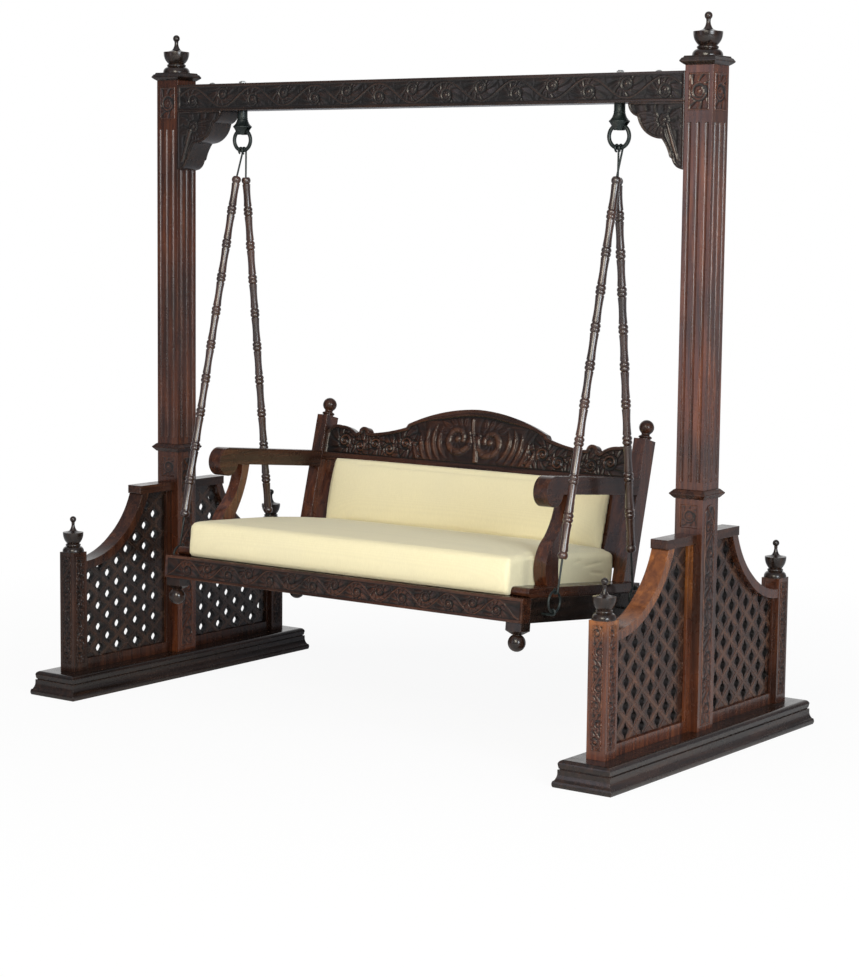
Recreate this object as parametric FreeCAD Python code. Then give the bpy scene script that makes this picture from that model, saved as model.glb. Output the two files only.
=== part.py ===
"""Jhoola: a carved wooden porch swing hung from a post and beam stand, with two cushions.

Millimetres. X runs along the beam, Y from front to back and Z up. The origin is on the floor,
midway between the two posts. The seat hangs from two iron rings and leans back a little.
"""
import FreeCAD, Part
import math
import os

Vector = FreeCAD.Vector

# Stand: posts, beam and bases
post_width = 90.0
post_top = 1978.0
beam_drop = 15.0
beam_depth = 86.0
base_height = 76.0
base_half_length = 586.0
base_half_width = 84.0
base_flare = 11.5
base_fascia = 24.0
base_groove = 3.0
base_groove_depth = 5.0
base_round = 11.0
base_plinth = 18.0
base_plinth_round = 2.5
base_lip = 4.5

# Flutes, carved field and lower panels of the posts
flute_width = 12.0
flute_depth = 5.0
flute_pitch = 28.0
flute_gap = 22.0
flute_top = 1818.0
field_height = 104.0
field_width = 66.0
field_depth = 3.0
panel_margin = 17.0

# Mouldings round the posts
collar_middle = 765.0
collar_height = 27.0
collar_out = 14.0
cap_height = 26.0
cap_out = 13.0

# Finials
finial_height = 124.0
finial_radius = 44.0
newel_finial_height = 115.0
newel_finial_radius = 34.0

# Newels and the pierced wings between them and the posts
newel_width = 60.0
newel_inset = 90.5
newel_top = 462.0
newel_panel_margin = 13.0
newel_panel_depth = 3.0
ledge_length = 166.0
ledge_width = 57.0
ledge_thick = 27.0
ledge_top = 651.0
ledge_round = 5.0
rail_face = 31.0
rail_newel_drop = 31.0
stile_width = 28.0
newel_stile_width = 14.0
stile_thick = 36.0
lattice_thick = 16.0
bottom_rail_height = 34.0
hole_pitch_y = 44.0
hole_pitch_z = 69.0
hole_width = 33.0
hole_height = 37.0
hole_rim = 5.0
hole_first_y = 121.0
hole_first_z = 135.0

# Brackets under the beam
bracket_length = 185.0
bracket_height = 191.0
bracket_bolt_inset = 112.0

# Iron hangers: a turned boss with a forked end, a cross pin and a ring
rod_gap = 36.0
hanger_inset = 286.0
boss_radius = 29.0
boss_height = 77.0
fork_gap = 19.0
stud_radius = 7.0
washer_radius = 14.0
washer_thick = 2.0
nut_across = 21.0
nut_height = 5.0
stud_stand = 2.0
pin_radius = 4.0
ring_radius = 34.0
ring_wire_radius = 6.0
ring_drop = 60.0

# Seat frame, in the seat's own frame: x, depth behind the front rail's face, height over the rails
seat_tilt = 5.35
hang_depth = 286.4
hang_drop = 1308.0
seat_half_width = 678.0
seat_depth = 668.0
rail_height = 71.0
front_rail_thick = 40.0
side_rail_thick = 36.0
rear_rail_inset = 116.0
rear_rail_thick = 32.0
board_thick = 14.0
plank_inset = 10.0
plank_thick = 28.0
plank_front = 40.0
plank_back_gap = 13.0

# Turned feet under the seat
foot_block_width = 54.0
foot_block_depth = 46.0
foot_block_height = 24.0
foot_taper_height = 11.0
foot_taper_radius = 16.0
foot_ball_radius = 26.0
foot_inset = 4.0
foot_rear_inset = 37.5

# Leaning back: posts, crest, frame, panel and pad
back_lean = 9.37
back_inset = 69.5
back_post_width = 42.0
back_post_thick = 61.0
back_post_height = 475.0
back_ball_radius = 23.0
back_ball_height = 62.0
crest_inset = 17.0
crest_thick = 28.0
crest_bottom = 326.0
crest_top = 530.0
back_frame_thick = 24.0
back_frame_bottom = 71.0
back_stile_width = 70.0
lower_rail_height = 44.0
back_panel_thick = 12.0
back_panel_set = 4.0

# Arms and their supports
arm_overhang = 3.0
arm_top = 347.0
arm_thick = 52.0
scroll_radius = 45.0
scroll_depth = 180.5
support_front = 161.0
support_span = 124.0

# Cushions
soft_gap = 0.3
seat_pad_front = 17.0
seat_pad_back_reach = 18.0
seat_pad_height = 111.0
seat_pad_side_gap = 2.5
seat_pad_crown = 12.0
seat_pad_back_rise = 16.0
seat_pad_bulge = 5.0
seat_pad_corner = 13.0
seat_pad_draw = 6.0
back_pad_side_gap = 66.0
back_pad_bottom = 113.0
back_pad_top = 336.0
back_pad_edge = 17.0
back_pad_crown = 20.0
back_pad_bulge = 3.0
back_pad_corner = 6.0
back_pad_draw = 4.0

# Rods and the iron that hooks them to the rings and to the seat
hook_wire_radius = 3.0
hook_reach = 86.0
hook_embed = 22.0
hook_play = 1.1
hook_turn = 260.0
lower_hook_reach = 94.0
lower_play = 0.4
rod_lengths = 10
rod_foot = 8.0
rod_cap = 20.0
rod_cap_radius = 10.5
rod_groove = 3.0
rod_groove_radius = 11.0
bead_radius = 15.0
bead_length = 14.0
bead_neck_radius = 12.7
rod_end_radius = 13.2
waist_radius = 11.5
link_radius = 30.5
link_wire_radius = 3.5
staple_front_depth = 101.0
staple_rear_inset = 108.0
staple_height = -38.0
staple_embed = 24.0

# Shared values
overrun = 5.0

# Places worked out from the sizes above
hanger_offset = seat_half_width + rod_gap
post_offset = hanger_offset + hanger_inset
post_half = post_width / 2
beam_height = beam_depth
beam_top = post_top - beam_drop
beam_bottom = beam_top - beam_height
collar_bottom = collar_middle - collar_height / 2
collar_top = collar_middle + collar_height / 2
newel_half = newel_width / 2
newel_offset = base_half_length - newel_inset
newel_inner = newel_offset - newel_half
ledge_bottom = ledge_top - ledge_thick
ledge_end = post_half + ledge_length
ring_axis = beam_bottom - ring_drop
ring_centre = ring_axis - ring_radius
seat_pivot = ring_centre - ring_radius
rail_inner = seat_half_width - side_rail_thick
back_post_inner = rail_inner - back_post_width
back_depth = seat_depth - back_inset
rear_rail_front = seat_depth - rear_rail_inset
foot_rear_depth = seat_depth - foot_rear_inset
staple_rear_depth = seat_depth - staple_rear_inset
boss_bottom = beam_bottom - boss_height
hook_curl = ring_wire_radius + hook_wire_radius + hook_play
lower_curl = link_wire_radius + hook_wire_radius + lower_play
staple_curl = 2 * link_wire_radius + lower_play

# Outlines as shares of their width and height. A leg of one point is straight, and a leg of two
# points is an arc through the first to the second.
finial_shares = [
    ((1.0, 0.0),), ((1.0, 0.024),), ((0.90, 0.112), (0.61, 0.16)), ((0.71, 0.196), (0.56, 0.232)),
    ((0.85, 0.36), (0.96, 0.528)), ((0.96, 0.552),), ((0.60, 0.57), (0.35, 0.60)),
    ((0.17, 0.71), (0.16, 0.836)),
]
back_ball_shares = [
    ((0.74, 0.0),), ((0.74, 0.065),), ((0.90, 0.13), (0.74, 0.194)), ((0.58, 0.25), (0.60, 0.32)),
]
boss_shares = [
    ((0.55, 0.0),), ((0.78, 0.17), (1.0, 0.30)), ((1.06, 0.335), (1.0, 0.37)),
    ((0.86, 0.42), (0.62, 0.62)), ((0.57, 0.66),), ((0.60, 0.69), (0.57, 0.72)), ((0.57, 1.0),),
]
bracket_shares = [
    ((1.0, 0.0),), ((0.95, 0.14), (0.827, 0.215)), ((0.741, 0.387), (0.389, 0.544)),
    ((0.297, 0.675), (0.239, 0.822)), ((0.20, 0.838),), ((0.146, 0.937), (0.0, 1.0)),
]
crest_shares = [
    ((1.0, 0.45),), ((0.975, 0.55), (0.908, 0.586)), ((0.85, 0.56), (0.797, 0.466)),
    ((0.775, 0.50),), ((0.745, 0.588), (0.715, 0.50)), ((0.687, 0.493),),
    ((0.56, 0.55), (0.458, 0.63)), ((0.447, 0.689),), ((0.258, 0.892), (0.0, 1.0)),
]
rail_outer_shares = [((0.136, 0.352), (0.362, 0.668)), ((0.649, 0.902), (1.0, 1.0))]
rail_inner_shares = [((0.649, 0.902), (0.362, 0.668)), ((0.136, 0.352), (0.0, 0.0))]
support_front_shares = [((0.47, 0.60), (0.32, 0.51)), ((0.0, 0.24), (0.11, 0.0))]
support_back_shares = [((0.54, 0.19), (0.54, 0.38)), ((0.83, 0.66), (1.0, 1.0))]
support_top_share = 0.73
support_foot_share = 0.62
pad_station_shares = [(1.0, 0.15), (0.985, 0.5), (0.93, 0.75), (0.75, 0.95), (0.0, 1.0)]


def on_xz(y):
    return lambda u, v: Vector(u, y, v)


def on_yz(x):
    return lambda u, v: Vector(x, u, v)


def scaled(shares, wide, tall):
    return [tuple((u * wide, v * tall) for u, v in leg) for leg in shares]


def moved(legs, right, up):
    return [tuple((right + u, up + v) for u, v in leg) for leg in legs]


def outline(place, start, legs):
    """Closed wire of straight and arc legs that begins and ends at start."""
    edges, here = [], start
    for leg in legs + [(start,)]:
        ends = [place(*point) for point in (here,) + leg]
        if ends[0].distanceToPoint(ends[-1]) > 0:
            edge = Part.Arc(*ends) if len(ends) == 3 else Part.LineSegment(*ends)
            edges.append(edge.toShape())
        here = leg[-1]
    return Part.Wire(edges)


def mirrored(start, legs):
    """Legs of the right half, bottom to top, followed by the same on the left, top to bottom."""
    ends = [start] + [leg[-1] for leg in legs]
    back = [((-ends[-1][0], ends[-1][1]),)]
    for leg, target in zip(reversed(legs), reversed(ends[:-1])):
        back.append(tuple((-u, v) for u, v in leg[:-1]) + ((-target[0], target[1]),))
    return legs + back


def block(x0, x1, y0, y1, z0, z1):
    return Part.makeBox(x1 - x0, y1 - y0, z1 - z0, Vector(x0, y0, z0))


def cylinder(radius, low, high, x=0, y=0):
    return Part.makeCylinder(radius, high - low, Vector(x, y, low))


def dome(neck, top):
    """Arc leg of a ball on the axis, from the edge of its neck to its top."""
    reach, low = neck
    centre = (top ** 2 - low ** 2 - reach ** 2) / (2 * (top - low))
    turn = (math.atan2(low - centre, reach) + math.pi / 2) / 2
    radius = top - centre
    return ((radius * math.cos(turn), centre + radius * math.sin(turn)), (0, top))


def turned(shares, radius, height, ball=True):
    """Solid turned about Z from its outline, ended by a ball or by a flat top."""
    legs = scaled(shares, radius, height)
    legs.append(dome(legs[-1][-1], height) if ball else ((0, height),))
    return Part.Face(outline(on_xz(0), (0, 0), legs)).revolve(Vector(0, 0, 0), Vector(0, 0, 1), 360)


def at(shape, x=0, y=0, z=0):
    return shape.translated(Vector(x, y, z))


def flip_x(shape):
    return shape.mirror(Vector(0, 0, 0), Vector(1, 0, 0))


def flip_y(shape):
    return shape.mirror(Vector(0, 0, 0), Vector(0, 1, 0))


def both_sides(shape):
    return Part.makeCompound([shape, flip_x(shape)])


def mitred(half_x, half_y, legs):
    """Moulding round a rectangle: legs give the overhang and height of one side, from the bottom up."""
    bodies = []
    for half, other, place, along in ((half_x, half_y, on_xz, 1), (half_y, half_x, on_yz, 0)):
        side = moved(legs, half, 0)
        start = side[0][-1]
        reach = other + max(point[0] for leg in legs for point in leg) + overrun
        wire = outline(place(-reach), start, mirrored(start, side[1:]))
        run = Vector(0, 2 * reach, 0) if along else Vector(2 * reach, 0, 0)
        bodies.append(Part.Face(wire).extrude(run))
    return bodies[0].common(bodies[1])


def base():
    """Base of one end frame: round plinth, a cove, a groove and a top board with a round edge."""
    fascia_bottom = base_height - base_fascia
    cove_top = fascia_bottom - base_groove
    plinth_edge = base_flare - base_plinth_round
    cove_foot = base_flare - base_lip
    legs = [
        ((plinth_edge, 0),), ((base_flare, base_plinth / 2), (plinth_edge, base_plinth)),
        ((cove_foot, base_plinth),),
        ((cove_foot / 4, (2 * base_plinth + cove_top) / 3), (0, (base_plinth + 2 * cove_top) / 3)),
        ((0, cove_top),), ((-base_groove_depth, cove_top),), ((-base_groove_depth, fascia_bottom),),
        ((-base_plinth_round, fascia_bottom),), ((0, base_height - base_round),),
        ((-base_round / 3, base_height - base_round / 3), (-base_round, base_height)),
    ]
    return at(mitred(base_half_width, base_half_length, legs), post_offset)


def on_faces(cutter, count=4):
    """The same cutter on each face of a square post that stands at the origin."""
    turns = []
    for turn in range(count):
        turns.append(cutter.rotated(Vector(0, 0, 0), Vector(0, 0, 1), 360 * turn / count))
    return turns


def flutes():
    radius = (flute_width ** 2 / 4 + flute_depth ** 2) / (2 * flute_depth)
    centre = post_half - flute_depth + radius
    cuts = []
    for column in (-1, 0, 1):
        cuts.append(cylinder(radius, collar_top + flute_gap, flute_top, column * flute_pitch, centre))
    return cuts


def sunk_panel(half_side, width, low, high, depth, arched=False):
    """Cutter for a recess in the front face of a post, with a flat or an arched head."""
    head = [((width / 2, high),), ((-width / 2, high),)]
    if arched:
        head = [((width / 2, high - width / 2),), ((0, high), (-width / 2, high - width / 2))]
    wire = outline(on_xz(-half_side - overrun), (-width / 2, low), [((width / 2, low),)] + head)
    return Part.Face(wire).extrude(Vector(0, overrun + depth, 0))


def main_post():
    """Square post: three flutes a face, a carved field at the head and sunk panels at the foot."""
    post = block(-post_half, post_half, -post_half, post_half, base_height, post_top)
    field_high = post_top - flute_gap
    field = sunk_panel(post_half, field_width, field_high - field_height, field_high, field_depth)
    block_panel = sunk_panel(
        post_half, post_width - 2 * panel_margin, ledge_top + panel_margin,
        collar_bottom - panel_margin, field_depth)
    arched_panel = sunk_panel(
        post_half, post_width - 2 * panel_margin, base_height + panel_margin,
        collar_bottom - panel_margin, field_depth, True)
    cuts = []
    for flute in flutes():
        cuts += on_faces(flute)
    faces = on_faces(field)
    cuts += faces[:3] + on_faces(block_panel, 2)
    cuts += [on_faces(arched_panel)[1], on_faces(arched_panel)[3]]
    return at(post.cut(cuts), post_offset)


def post_ring(legs, low):
    """Moulding that grips the post, closed tight round its four faces."""
    ring = at(mitred(post_half, post_half, legs), 0, 0, low)
    high = max(point[1] for leg in legs for point in leg)
    core = block(-post_half, post_half, -post_half, post_half, low - overrun, low + high + overrun)
    return at(ring.cut(core), post_offset)


def collar():
    out, tall = collar_out, collar_height
    legs = [
        ((0, 0),), ((out / 5, 0),), ((out * 2 / 5, tall / 9), (out * 9 / 10, tall * 2 / 5)),
        ((out, tall / 2), (out * 9 / 10, tall * 3 / 5)), ((out / 2, tall * 4 / 5),),
        ((out / 3, tall * 9 / 10),), ((0, tall),),
    ]
    return post_ring(legs, collar_bottom)


def cap():
    """Moulded cap that closes the head of a post and carries its finial."""
    out, tall = cap_out, cap_height
    legs = [
        ((0, 0),), ((out / 3, tall / 9), (out, tall * 2 / 5)), ((out, tall / 2),),
        ((out * 3 / 5, tall * 4 / 5),), ((out * 2 / 5, tall * 4 / 5),), ((out / 4, tall),),
    ]
    return at(mitred(post_half, post_half, legs), post_offset, 0, post_top)


def post_finial():
    return at(turned(finial_shares, finial_radius, finial_height), post_offset, 0, post_top + cap_height)


def newel():
    """Short square post at the end of a wing, with a framed panel sunk in each open face."""
    body = block(-newel_half, newel_half, -newel_half, newel_half, base_height, newel_top)
    panel = sunk_panel(
        newel_half, newel_width - 2 * newel_panel_margin, base_height + 2 * newel_panel_margin,
        newel_top - newel_panel_margin, newel_panel_depth)
    return at(body.cut(on_faces(panel)), post_offset, newel_offset)


def newel_finial():
    finial = turned(finial_shares, newel_finial_radius, newel_finial_height)
    return at(finial, post_offset, newel_offset, newel_top)


def ledge():
    """Little shelf on the post that ends the curved rail of a wing."""
    half = ledge_width / 2
    shelf = block(post_offset - half, post_offset + half, post_half, ledge_end, ledge_bottom, ledge_top)
    tip = [edge for edge in shelf.Edges if edge.CenterOfMass.y > ledge_end - ledge_round]
    return shelf.makeFillet(ledge_round, tip)


def curve_run():
    """Start, width and drop of the upper edge of a curved rail, from the ledge to the newel."""
    top = (ledge_end - rail_face / 3, ledge_bottom)
    low = newel_top - rail_newel_drop
    return top, newel_inner - top[0], low - ledge_bottom


def curved_rail():
    """Concave top rail of a wing: two arcs above and the same two arcs below, a rail's face apart."""
    top, across, drop = curve_run()
    upper = moved(scaled(rail_outer_shares, across, drop), *top)
    under_start = (top[0] - rail_face, ledge_bottom)
    under_across = newel_inner - under_start[0]
    under_drop = drop - rail_face * 7 / 8
    lower = moved(scaled(rail_inner_shares, under_across, under_drop), *under_start)
    upper.append(((newel_inner, ledge_bottom + under_drop),))
    wire = outline(on_yz(post_offset - ledge_width / 2), top, upper + lower)
    return Part.Face(wire).extrude(Vector(ledge_width, 0, 0))


def wing_frame():
    """Curved rail, two stiles and a bottom rail, jointed round the pierced panel."""
    half = stile_thick / 2
    x0, x1 = post_offset - half, post_offset + half
    rail = curved_rail()
    post_stile = block(x0, x1, post_half, post_half + stile_width, base_height, ledge_bottom)
    far = newel_inner - newel_stile_width
    newel_stile = block(x0, x1, far, newel_inner, base_height, newel_top).cut(rail)
    newel_stile = min(newel_stile.Solids, key=lambda solid: solid.CenterOfMass.z)
    rail_top = base_height + bottom_rail_height
    bottom = block(x0, x1, post_half + stile_width, far, base_height, rail_top)
    return [rail, post_stile, newel_stile, bottom]


def lattice():
    """Pierced panel: rows of lozenge holes, every other column half a pitch higher."""
    half = lattice_thick / 2
    top, across, drop = curve_run()
    low = base_height + bottom_rail_height
    start = (post_half + stile_width, low)
    upper = moved(scaled(rail_outer_shares, across, drop), *top)
    around = [((newel_inner, low),), (upper[-1][-1],)]
    back = [(leg[0], target) for leg, target in ((upper[1], upper[0][-1]), (upper[0], top))]
    around += back + [((start[0], ledge_bottom),)]
    wire = outline(on_yz(post_offset - half), start, around)
    panel = Part.Face(wire).extrude(Vector(lattice_thick, 0, 0))
    frame = Part.makeCompound(wing_frame())
    panel = max(panel.cut(frame).Solids, key=lambda solid: solid.Volume)
    face = min(panel.Faces, key=lambda side: side.CenterOfMass.x)
    return panel.cut(lattice_holes(face))


def lozenge(place, y, z, rim=0):
    """Corners of a hole, or of the hole with a rim round it, from the lowest one on."""
    half_width, half_height = hole_width / 2 + rim, hole_height / 2 + rim
    return [place(y, z - half_height), place(y + half_width, z),
            place(y, z + half_height), place(y - half_width, z)]


def lattice_holes(face):
    """One lozenge at each place where it and its rim clear the edge of the panel."""
    holes = []
    columns = int((newel_inner - hole_first_y) / hole_pitch_y) + 1
    rows = int((ledge_bottom - hole_first_z) / hole_pitch_z) + 1
    for column in range(columns):
        y = hole_first_y + column * hole_pitch_y
        for row in range(rows):
            z = hole_first_z + (row + (column % 2) / 2) * hole_pitch_z
            rim = lozenge(on_yz(face.CenterOfMass.x), y, z, hole_rim)
            if all(face.isInside(corner, soft_gap, True) for corner in rim):
                corners = lozenge(on_yz(post_offset - ledge_width), y, z)
                hole = Part.Face(Part.makePolygon(corners + corners[:1]))
                holes.append(hole.extrude(Vector(2 * ledge_width, 0, 0)))
    return holes


def beam():
    """Top beam between the posts, bored for the studs of the two hangers and the bracket bolts."""
    reach = post_offset - post_half
    body = block(-reach, reach, -beam_depth / 2, beam_depth / 2, beam_bottom, beam_top)
    bores = []
    for side in (-1, 1):
        for x in (hanger_offset, bracket_bolt_x()):
            bores.append(cylinder(stud_radius, beam_bottom - overrun, beam_top + overrun, side * x))
    return body.cut(bores)


def bracket_bolt_x():
    return post_offset - post_half - bracket_bolt_inset


def bracket():
    """Scalloped knee bracket in the corner of a post and the beam, drilled for its bolt."""
    corner = (post_offset - post_half, beam_bottom)
    legs = moved([tuple((-u, -v) for u, v in leg)
                  for leg in scaled(bracket_shares, bracket_length, bracket_height)], *corner)
    wire = outline(on_xz(-beam_depth / 2), corner, legs)
    body = Part.Face(wire).extrude(Vector(0, beam_depth, 0))
    low = beam_bottom - bracket_bolt_depth()
    return body.cut(cylinder(stud_radius, low, beam_bottom + overrun, bracket_bolt_x()))


def bracket_bolt_depth():
    return bracket_height / 4


def hexagon(across, low, high, x):
    radius = across / 2 / math.cos(math.radians(30))
    corners = []
    for corner in range(6):
        turn = math.radians(60 * corner)
        corners.append(Vector(x + radius * math.cos(turn), radius * math.sin(turn), low))
    wire = Part.makePolygon(corners + corners[:1])
    return Part.Face(wire).extrude(Vector(0, 0, high - low))


def nut_and_washer():
    """Washer and hexagon nut on the stud that comes up through the beam."""
    bore = cylinder(stud_radius, beam_top - overrun, beam_top + 2 * nut_height, hanger_offset)
    nut_low = beam_top + washer_thick
    washer = cylinder(washer_radius, beam_top, nut_low, hanger_offset).cut(bore)
    nut = hexagon(nut_across, nut_low, nut_low + nut_height, hanger_offset).cut(bore)
    return [washer, nut]


def bracket_bolt():
    """Bolt that ties a bracket to the beam, with a domed head over the beam."""
    x = bracket_bolt_x()
    shank = cylinder(stud_radius, beam_bottom - bracket_bolt_depth(), beam_top, x)
    dome = Part.makeSphere(washer_radius, Vector(x, 0, beam_top - washer_radius / 2))
    above = block(x - washer_radius, x + washer_radius, -washer_radius, washer_radius,
                  beam_top, beam_top + washer_radius)
    return shank.fuse(dome.common(above)).removeSplitter()


def hanger_boss():
    """Turned iron boss under the beam: ferrule, beaded bell, fork for the ring, and its stud."""
    boss = at(turned(boss_shares, boss_radius, boss_height, False), 0, 0, boss_bottom)
    boss = boss.fuse(cylinder(stud_radius, beam_bottom, beam_top + washer_thick + nut_height + stud_stand))
    slot_top = ring_axis + ring_wire_radius + hook_play
    slot = block(-2 * boss_radius, 2 * boss_radius, -fork_gap / 2, fork_gap / 2,
                 boss_bottom - overrun, slot_top)
    return at(boss.removeSplitter().cut([slot, cross_pin()]), hanger_offset)


def cross_pin():
    """Pin across the fork, just under the top of the ring that hangs on it."""
    height = ring_axis - ring_wire_radius - soft_gap - pin_radius
    length = 2 * boss_radius * 3 / 4
    return Part.makeCylinder(pin_radius, length, Vector(0, -length / 2, height), Vector(0, 1, 0))


def hanger_ring():
    centre = Vector(hanger_offset, 0, ring_centre)
    return Part.makeTorus(ring_radius, ring_wire_radius, centre, Vector(0, 1, 0))


def rails():
    """Front, rear and side rails of the seat frame, by name."""
    front = block(-seat_half_width, seat_half_width, 0, front_rail_thick, -rail_height, 0)
    rear_back = rear_rail_front + rear_rail_thick
    rear = block(-rail_inner, rail_inner, rear_rail_front, rear_back, -rail_height, 0)
    side = block(rail_inner, seat_half_width, front_rail_thick, seat_depth, -rail_height, 0)
    bores = []
    for depth in (staple_front_depth, staple_rear_depth):
        root = Vector(seat_half_width - staple_embed, depth, staple_height - staple_curl)
        bores.append(Part.makeCylinder(link_wire_radius, staple_embed + overrun, root, Vector(1, 0, 0)))
    return front, rear, side.cut(bores)


def seat_board():
    return block(-rail_inner, rail_inner, front_rail_thick, rear_rail_front, -board_thick, 0)


def side_plank():
    """Flat plank on the side rail with a rounded nose, notched round the back post."""
    nose = plank_thick / 2
    back = seat_depth - plank_back_gap
    legs = [((back, 0),), ((back, plank_thick),), ((plank_front + nose, plank_thick),),
            ((plank_front, nose), (plank_front + nose, 0))]
    x0, x1 = back_post_inner, seat_half_width - plank_inset
    wire = outline(on_yz(x0), (plank_front + nose, 0), legs)
    return Part.Face(wire).extrude(Vector(x1 - x0, 0, 0)).cut(back_post())


def foot(depth):
    """Square block, a taper and a ball under a corner of the frame."""
    x = seat_half_width - foot_inset - foot_block_width / 2
    low = -rail_height - foot_block_height
    half_x, half_y = foot_block_width / 2, foot_block_depth / 2
    body = block(-half_x, half_x, -half_y, half_y, low, -rail_height)
    square = Part.makePolygon([Vector(sx * half_x, sy * half_y, low)
                               for sx, sy in ((-1, -1), (1, -1), (1, 1), (-1, 1), (-1, -1))])
    small = foot_taper_radius / math.sqrt(2)
    end = Part.makePolygon([Vector(sx * small, sy * small, low - foot_taper_height)
                            for sx, sy in ((-1, -1), (1, -1), (1, 1), (-1, 1), (-1, -1))])
    taper = Part.makeLoft([square, end], True, True)
    ball_centre = low - foot_taper_height - foot_ball_radius * 9 / 10
    ball = Part.makeSphere(foot_ball_radius, Vector(0, 0, ball_centre))
    return at(body.fuse([taper, ball]).removeSplitter(), x, depth)


def leaned(shape):
    """From the upright frame of the back, with depth 0 at its posts' front, to the seat's frame."""
    turned_back = shape.rotated(Vector(0, 0, 0), Vector(1, 0, 0), -back_lean)
    return turned_back.translated(Vector(0, back_depth, 0))


def back_front(height):
    """Depth of the back posts' front face at a height in the seat's frame."""
    return back_depth + height * math.tan(math.radians(back_lean))


def back_post():
    x0, x1 = back_post_inner, rail_inner
    post = leaned(block(x0, x1, 0, back_post_thick, -2 * rail_height, back_post_height))
    below = block(0, 2 * seat_half_width, 0, 2 * seat_depth, -4 * rail_height, -rail_height)
    return post.cut(below)


def back_ball():
    ball = turned(back_ball_shares, back_ball_radius, back_ball_height)
    x = rail_inner - back_post_width / 2
    return leaned(at(ball, x, back_post_thick / 2, back_post_height))


def crest_rail():
    """Shaped top rail: central arch, shoulders, buds and end volutes."""
    legs = moved(scaled(crest_shares, back_post_inner, crest_top - crest_bottom), 0, crest_bottom)
    start = (back_post_inner, crest_bottom)
    wire = outline(on_xz(crest_inset), start, mirrored(start, legs))
    return leaned(Part.Face(wire).extrude(Vector(0, crest_thick, 0)))


def back_frame():
    """Two stiles and the lower rail of the back."""
    y0, y1 = crest_inset, crest_inset + back_frame_thick
    inner = back_post_inner - back_stile_width
    stile = block(inner, back_post_inner, y0, y1, back_frame_bottom, crest_bottom)
    rail = block(-inner, inner, y0, y1, back_frame_bottom, back_frame_bottom + lower_rail_height)
    return [leaned(stile), leaned(flip_x(stile)), leaned(rail)]


def back_panel():
    y0 = crest_inset + back_panel_set
    inner = back_post_inner - back_stile_width
    return leaned(block(-inner, inner, y0, y0 + back_panel_thick,
                        back_frame_bottom + lower_rail_height, crest_bottom))


def arm():
    """Arm board from the back post to a full round scroll at its front end."""
    low = arm_top - arm_thick
    centre = (scroll_depth, arm_top - scroll_radius)
    meet = scroll_depth + math.sqrt(scroll_radius ** 2 - (centre[1] - low) ** 2)
    legs = [((meet, low),),
            ((scroll_depth, centre[1] - scroll_radius), (scroll_depth - scroll_radius, centre[1])),
            ((scroll_depth - scroll_radius * math.sqrt(0.5), centre[1] + scroll_radius * math.sqrt(0.5)),
             (scroll_depth, arm_top)),
            ((back_front(arm_top), arm_top),)]
    x0, x1 = back_post_inner - arm_overhang, rail_inner + arm_overhang
    wire = outline(on_yz(x0), (back_front(low), low), legs)
    return Part.Face(wire).extrude(Vector(x1 - x0, 0, 0))


def arm_support():
    """S shaped support from the side plank up to the arm."""
    tall = arm_top - arm_thick - plank_thick
    origin = (support_front, plank_thick)
    front = moved(scaled(support_front_shares, support_span, tall), *origin)
    rear = moved(scaled(support_back_shares, support_span, tall), *origin)
    start = (support_front + support_top_share * support_span, plank_thick + tall)
    foot_back = (support_front + support_foot_share * support_span, plank_thick)
    wire = outline(on_yz(back_post_inner), start, front + [(foot_back,)] + rear)
    return Part.Face(wire).extrude(Vector(back_post_width, 0, 0))


def pad(half_length, front, back, low, high, crown, bulge, corner, draw, crown_up=True):
    """Soft cushion: sections along x that fill out from drawn-in ends, with a crowned face."""
    sections = []
    stations = [(-place, full) for place, full in pad_station_shares[:-1]]
    for place, full in stations + pad_station_shares[::-1]:
        inset = draw * (1 - full)
        y0, y1 = front + inset, back - (inset if crown_up else 0)
        limits = (y0, y1, low + (0 if crown_up else inset), high - inset)
        section = seat_section if crown_up else back_section
        wire = section(limits, crown * full, bulge * full, corner, seat_pad_back_rise * full)
        sections.append(wire.translated(Vector(place * half_length, 0, 0)))
    return Part.makeLoft(sections, True, True)


def seat_section(limits, crown, bulge, corner, rise):
    """Rounded section in depth and height with a crowned top that rises to the back."""
    y0, y1, z0, z1 = limits
    cut = corner * (1 - math.sqrt(0.5))
    mid_y, mid_z = (y0 + y1) / 2, (z0 + z1) / 2
    legs = [
        ((y0 + cut, z0 + cut), (y0, z0 + corner)), ((y0 - bulge, mid_z), (y0, z1 - corner)),
        ((y0 + cut, z1 - cut), (y0 + corner, z1)),
        ((mid_y, z1 + rise / 2 + crown), (y1 - corner, z1 + rise)),
        ((y1 - cut, z1 + rise - cut), (y1, z1 + rise - corner)),
        ((y1 + bulge, mid_z), (y1, z0 + corner)), ((y1 - cut, z0 + cut), (y1 - corner, z0)),
    ]
    return outline(on_yz(0), (y0 + corner, z0), legs)


def back_section(limits, crown, bulge, corner, rise):
    """Rounded section in depth and height with a crowned front and a flat back."""
    y0, y1, z0, z1 = limits
    cut = corner * (1 - math.sqrt(0.5))
    mid_y, mid_z = (y0 + y1) / 2, (z0 + z1) / 2
    legs = [
        ((y0 + cut, z0 + cut), (y0, z0 + corner)), ((y0 - crown, mid_z), (y0, z1 - corner)),
        ((y0 + cut, z1 - cut), (y0 + corner, z1)), ((mid_y, z1 + bulge), (y1 - corner, z1)),
        ((y1 - cut, z1 - cut), (y1, z1 - corner)), ((y1, z0 + corner),),
        ((y1 - cut, z0 + cut), (y1 - corner, z0)), ((mid_y, z0 - bulge), (y0 + corner, z0)),
    ]
    return outline(on_yz(0), (y0 + corner, z0), legs)


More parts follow.
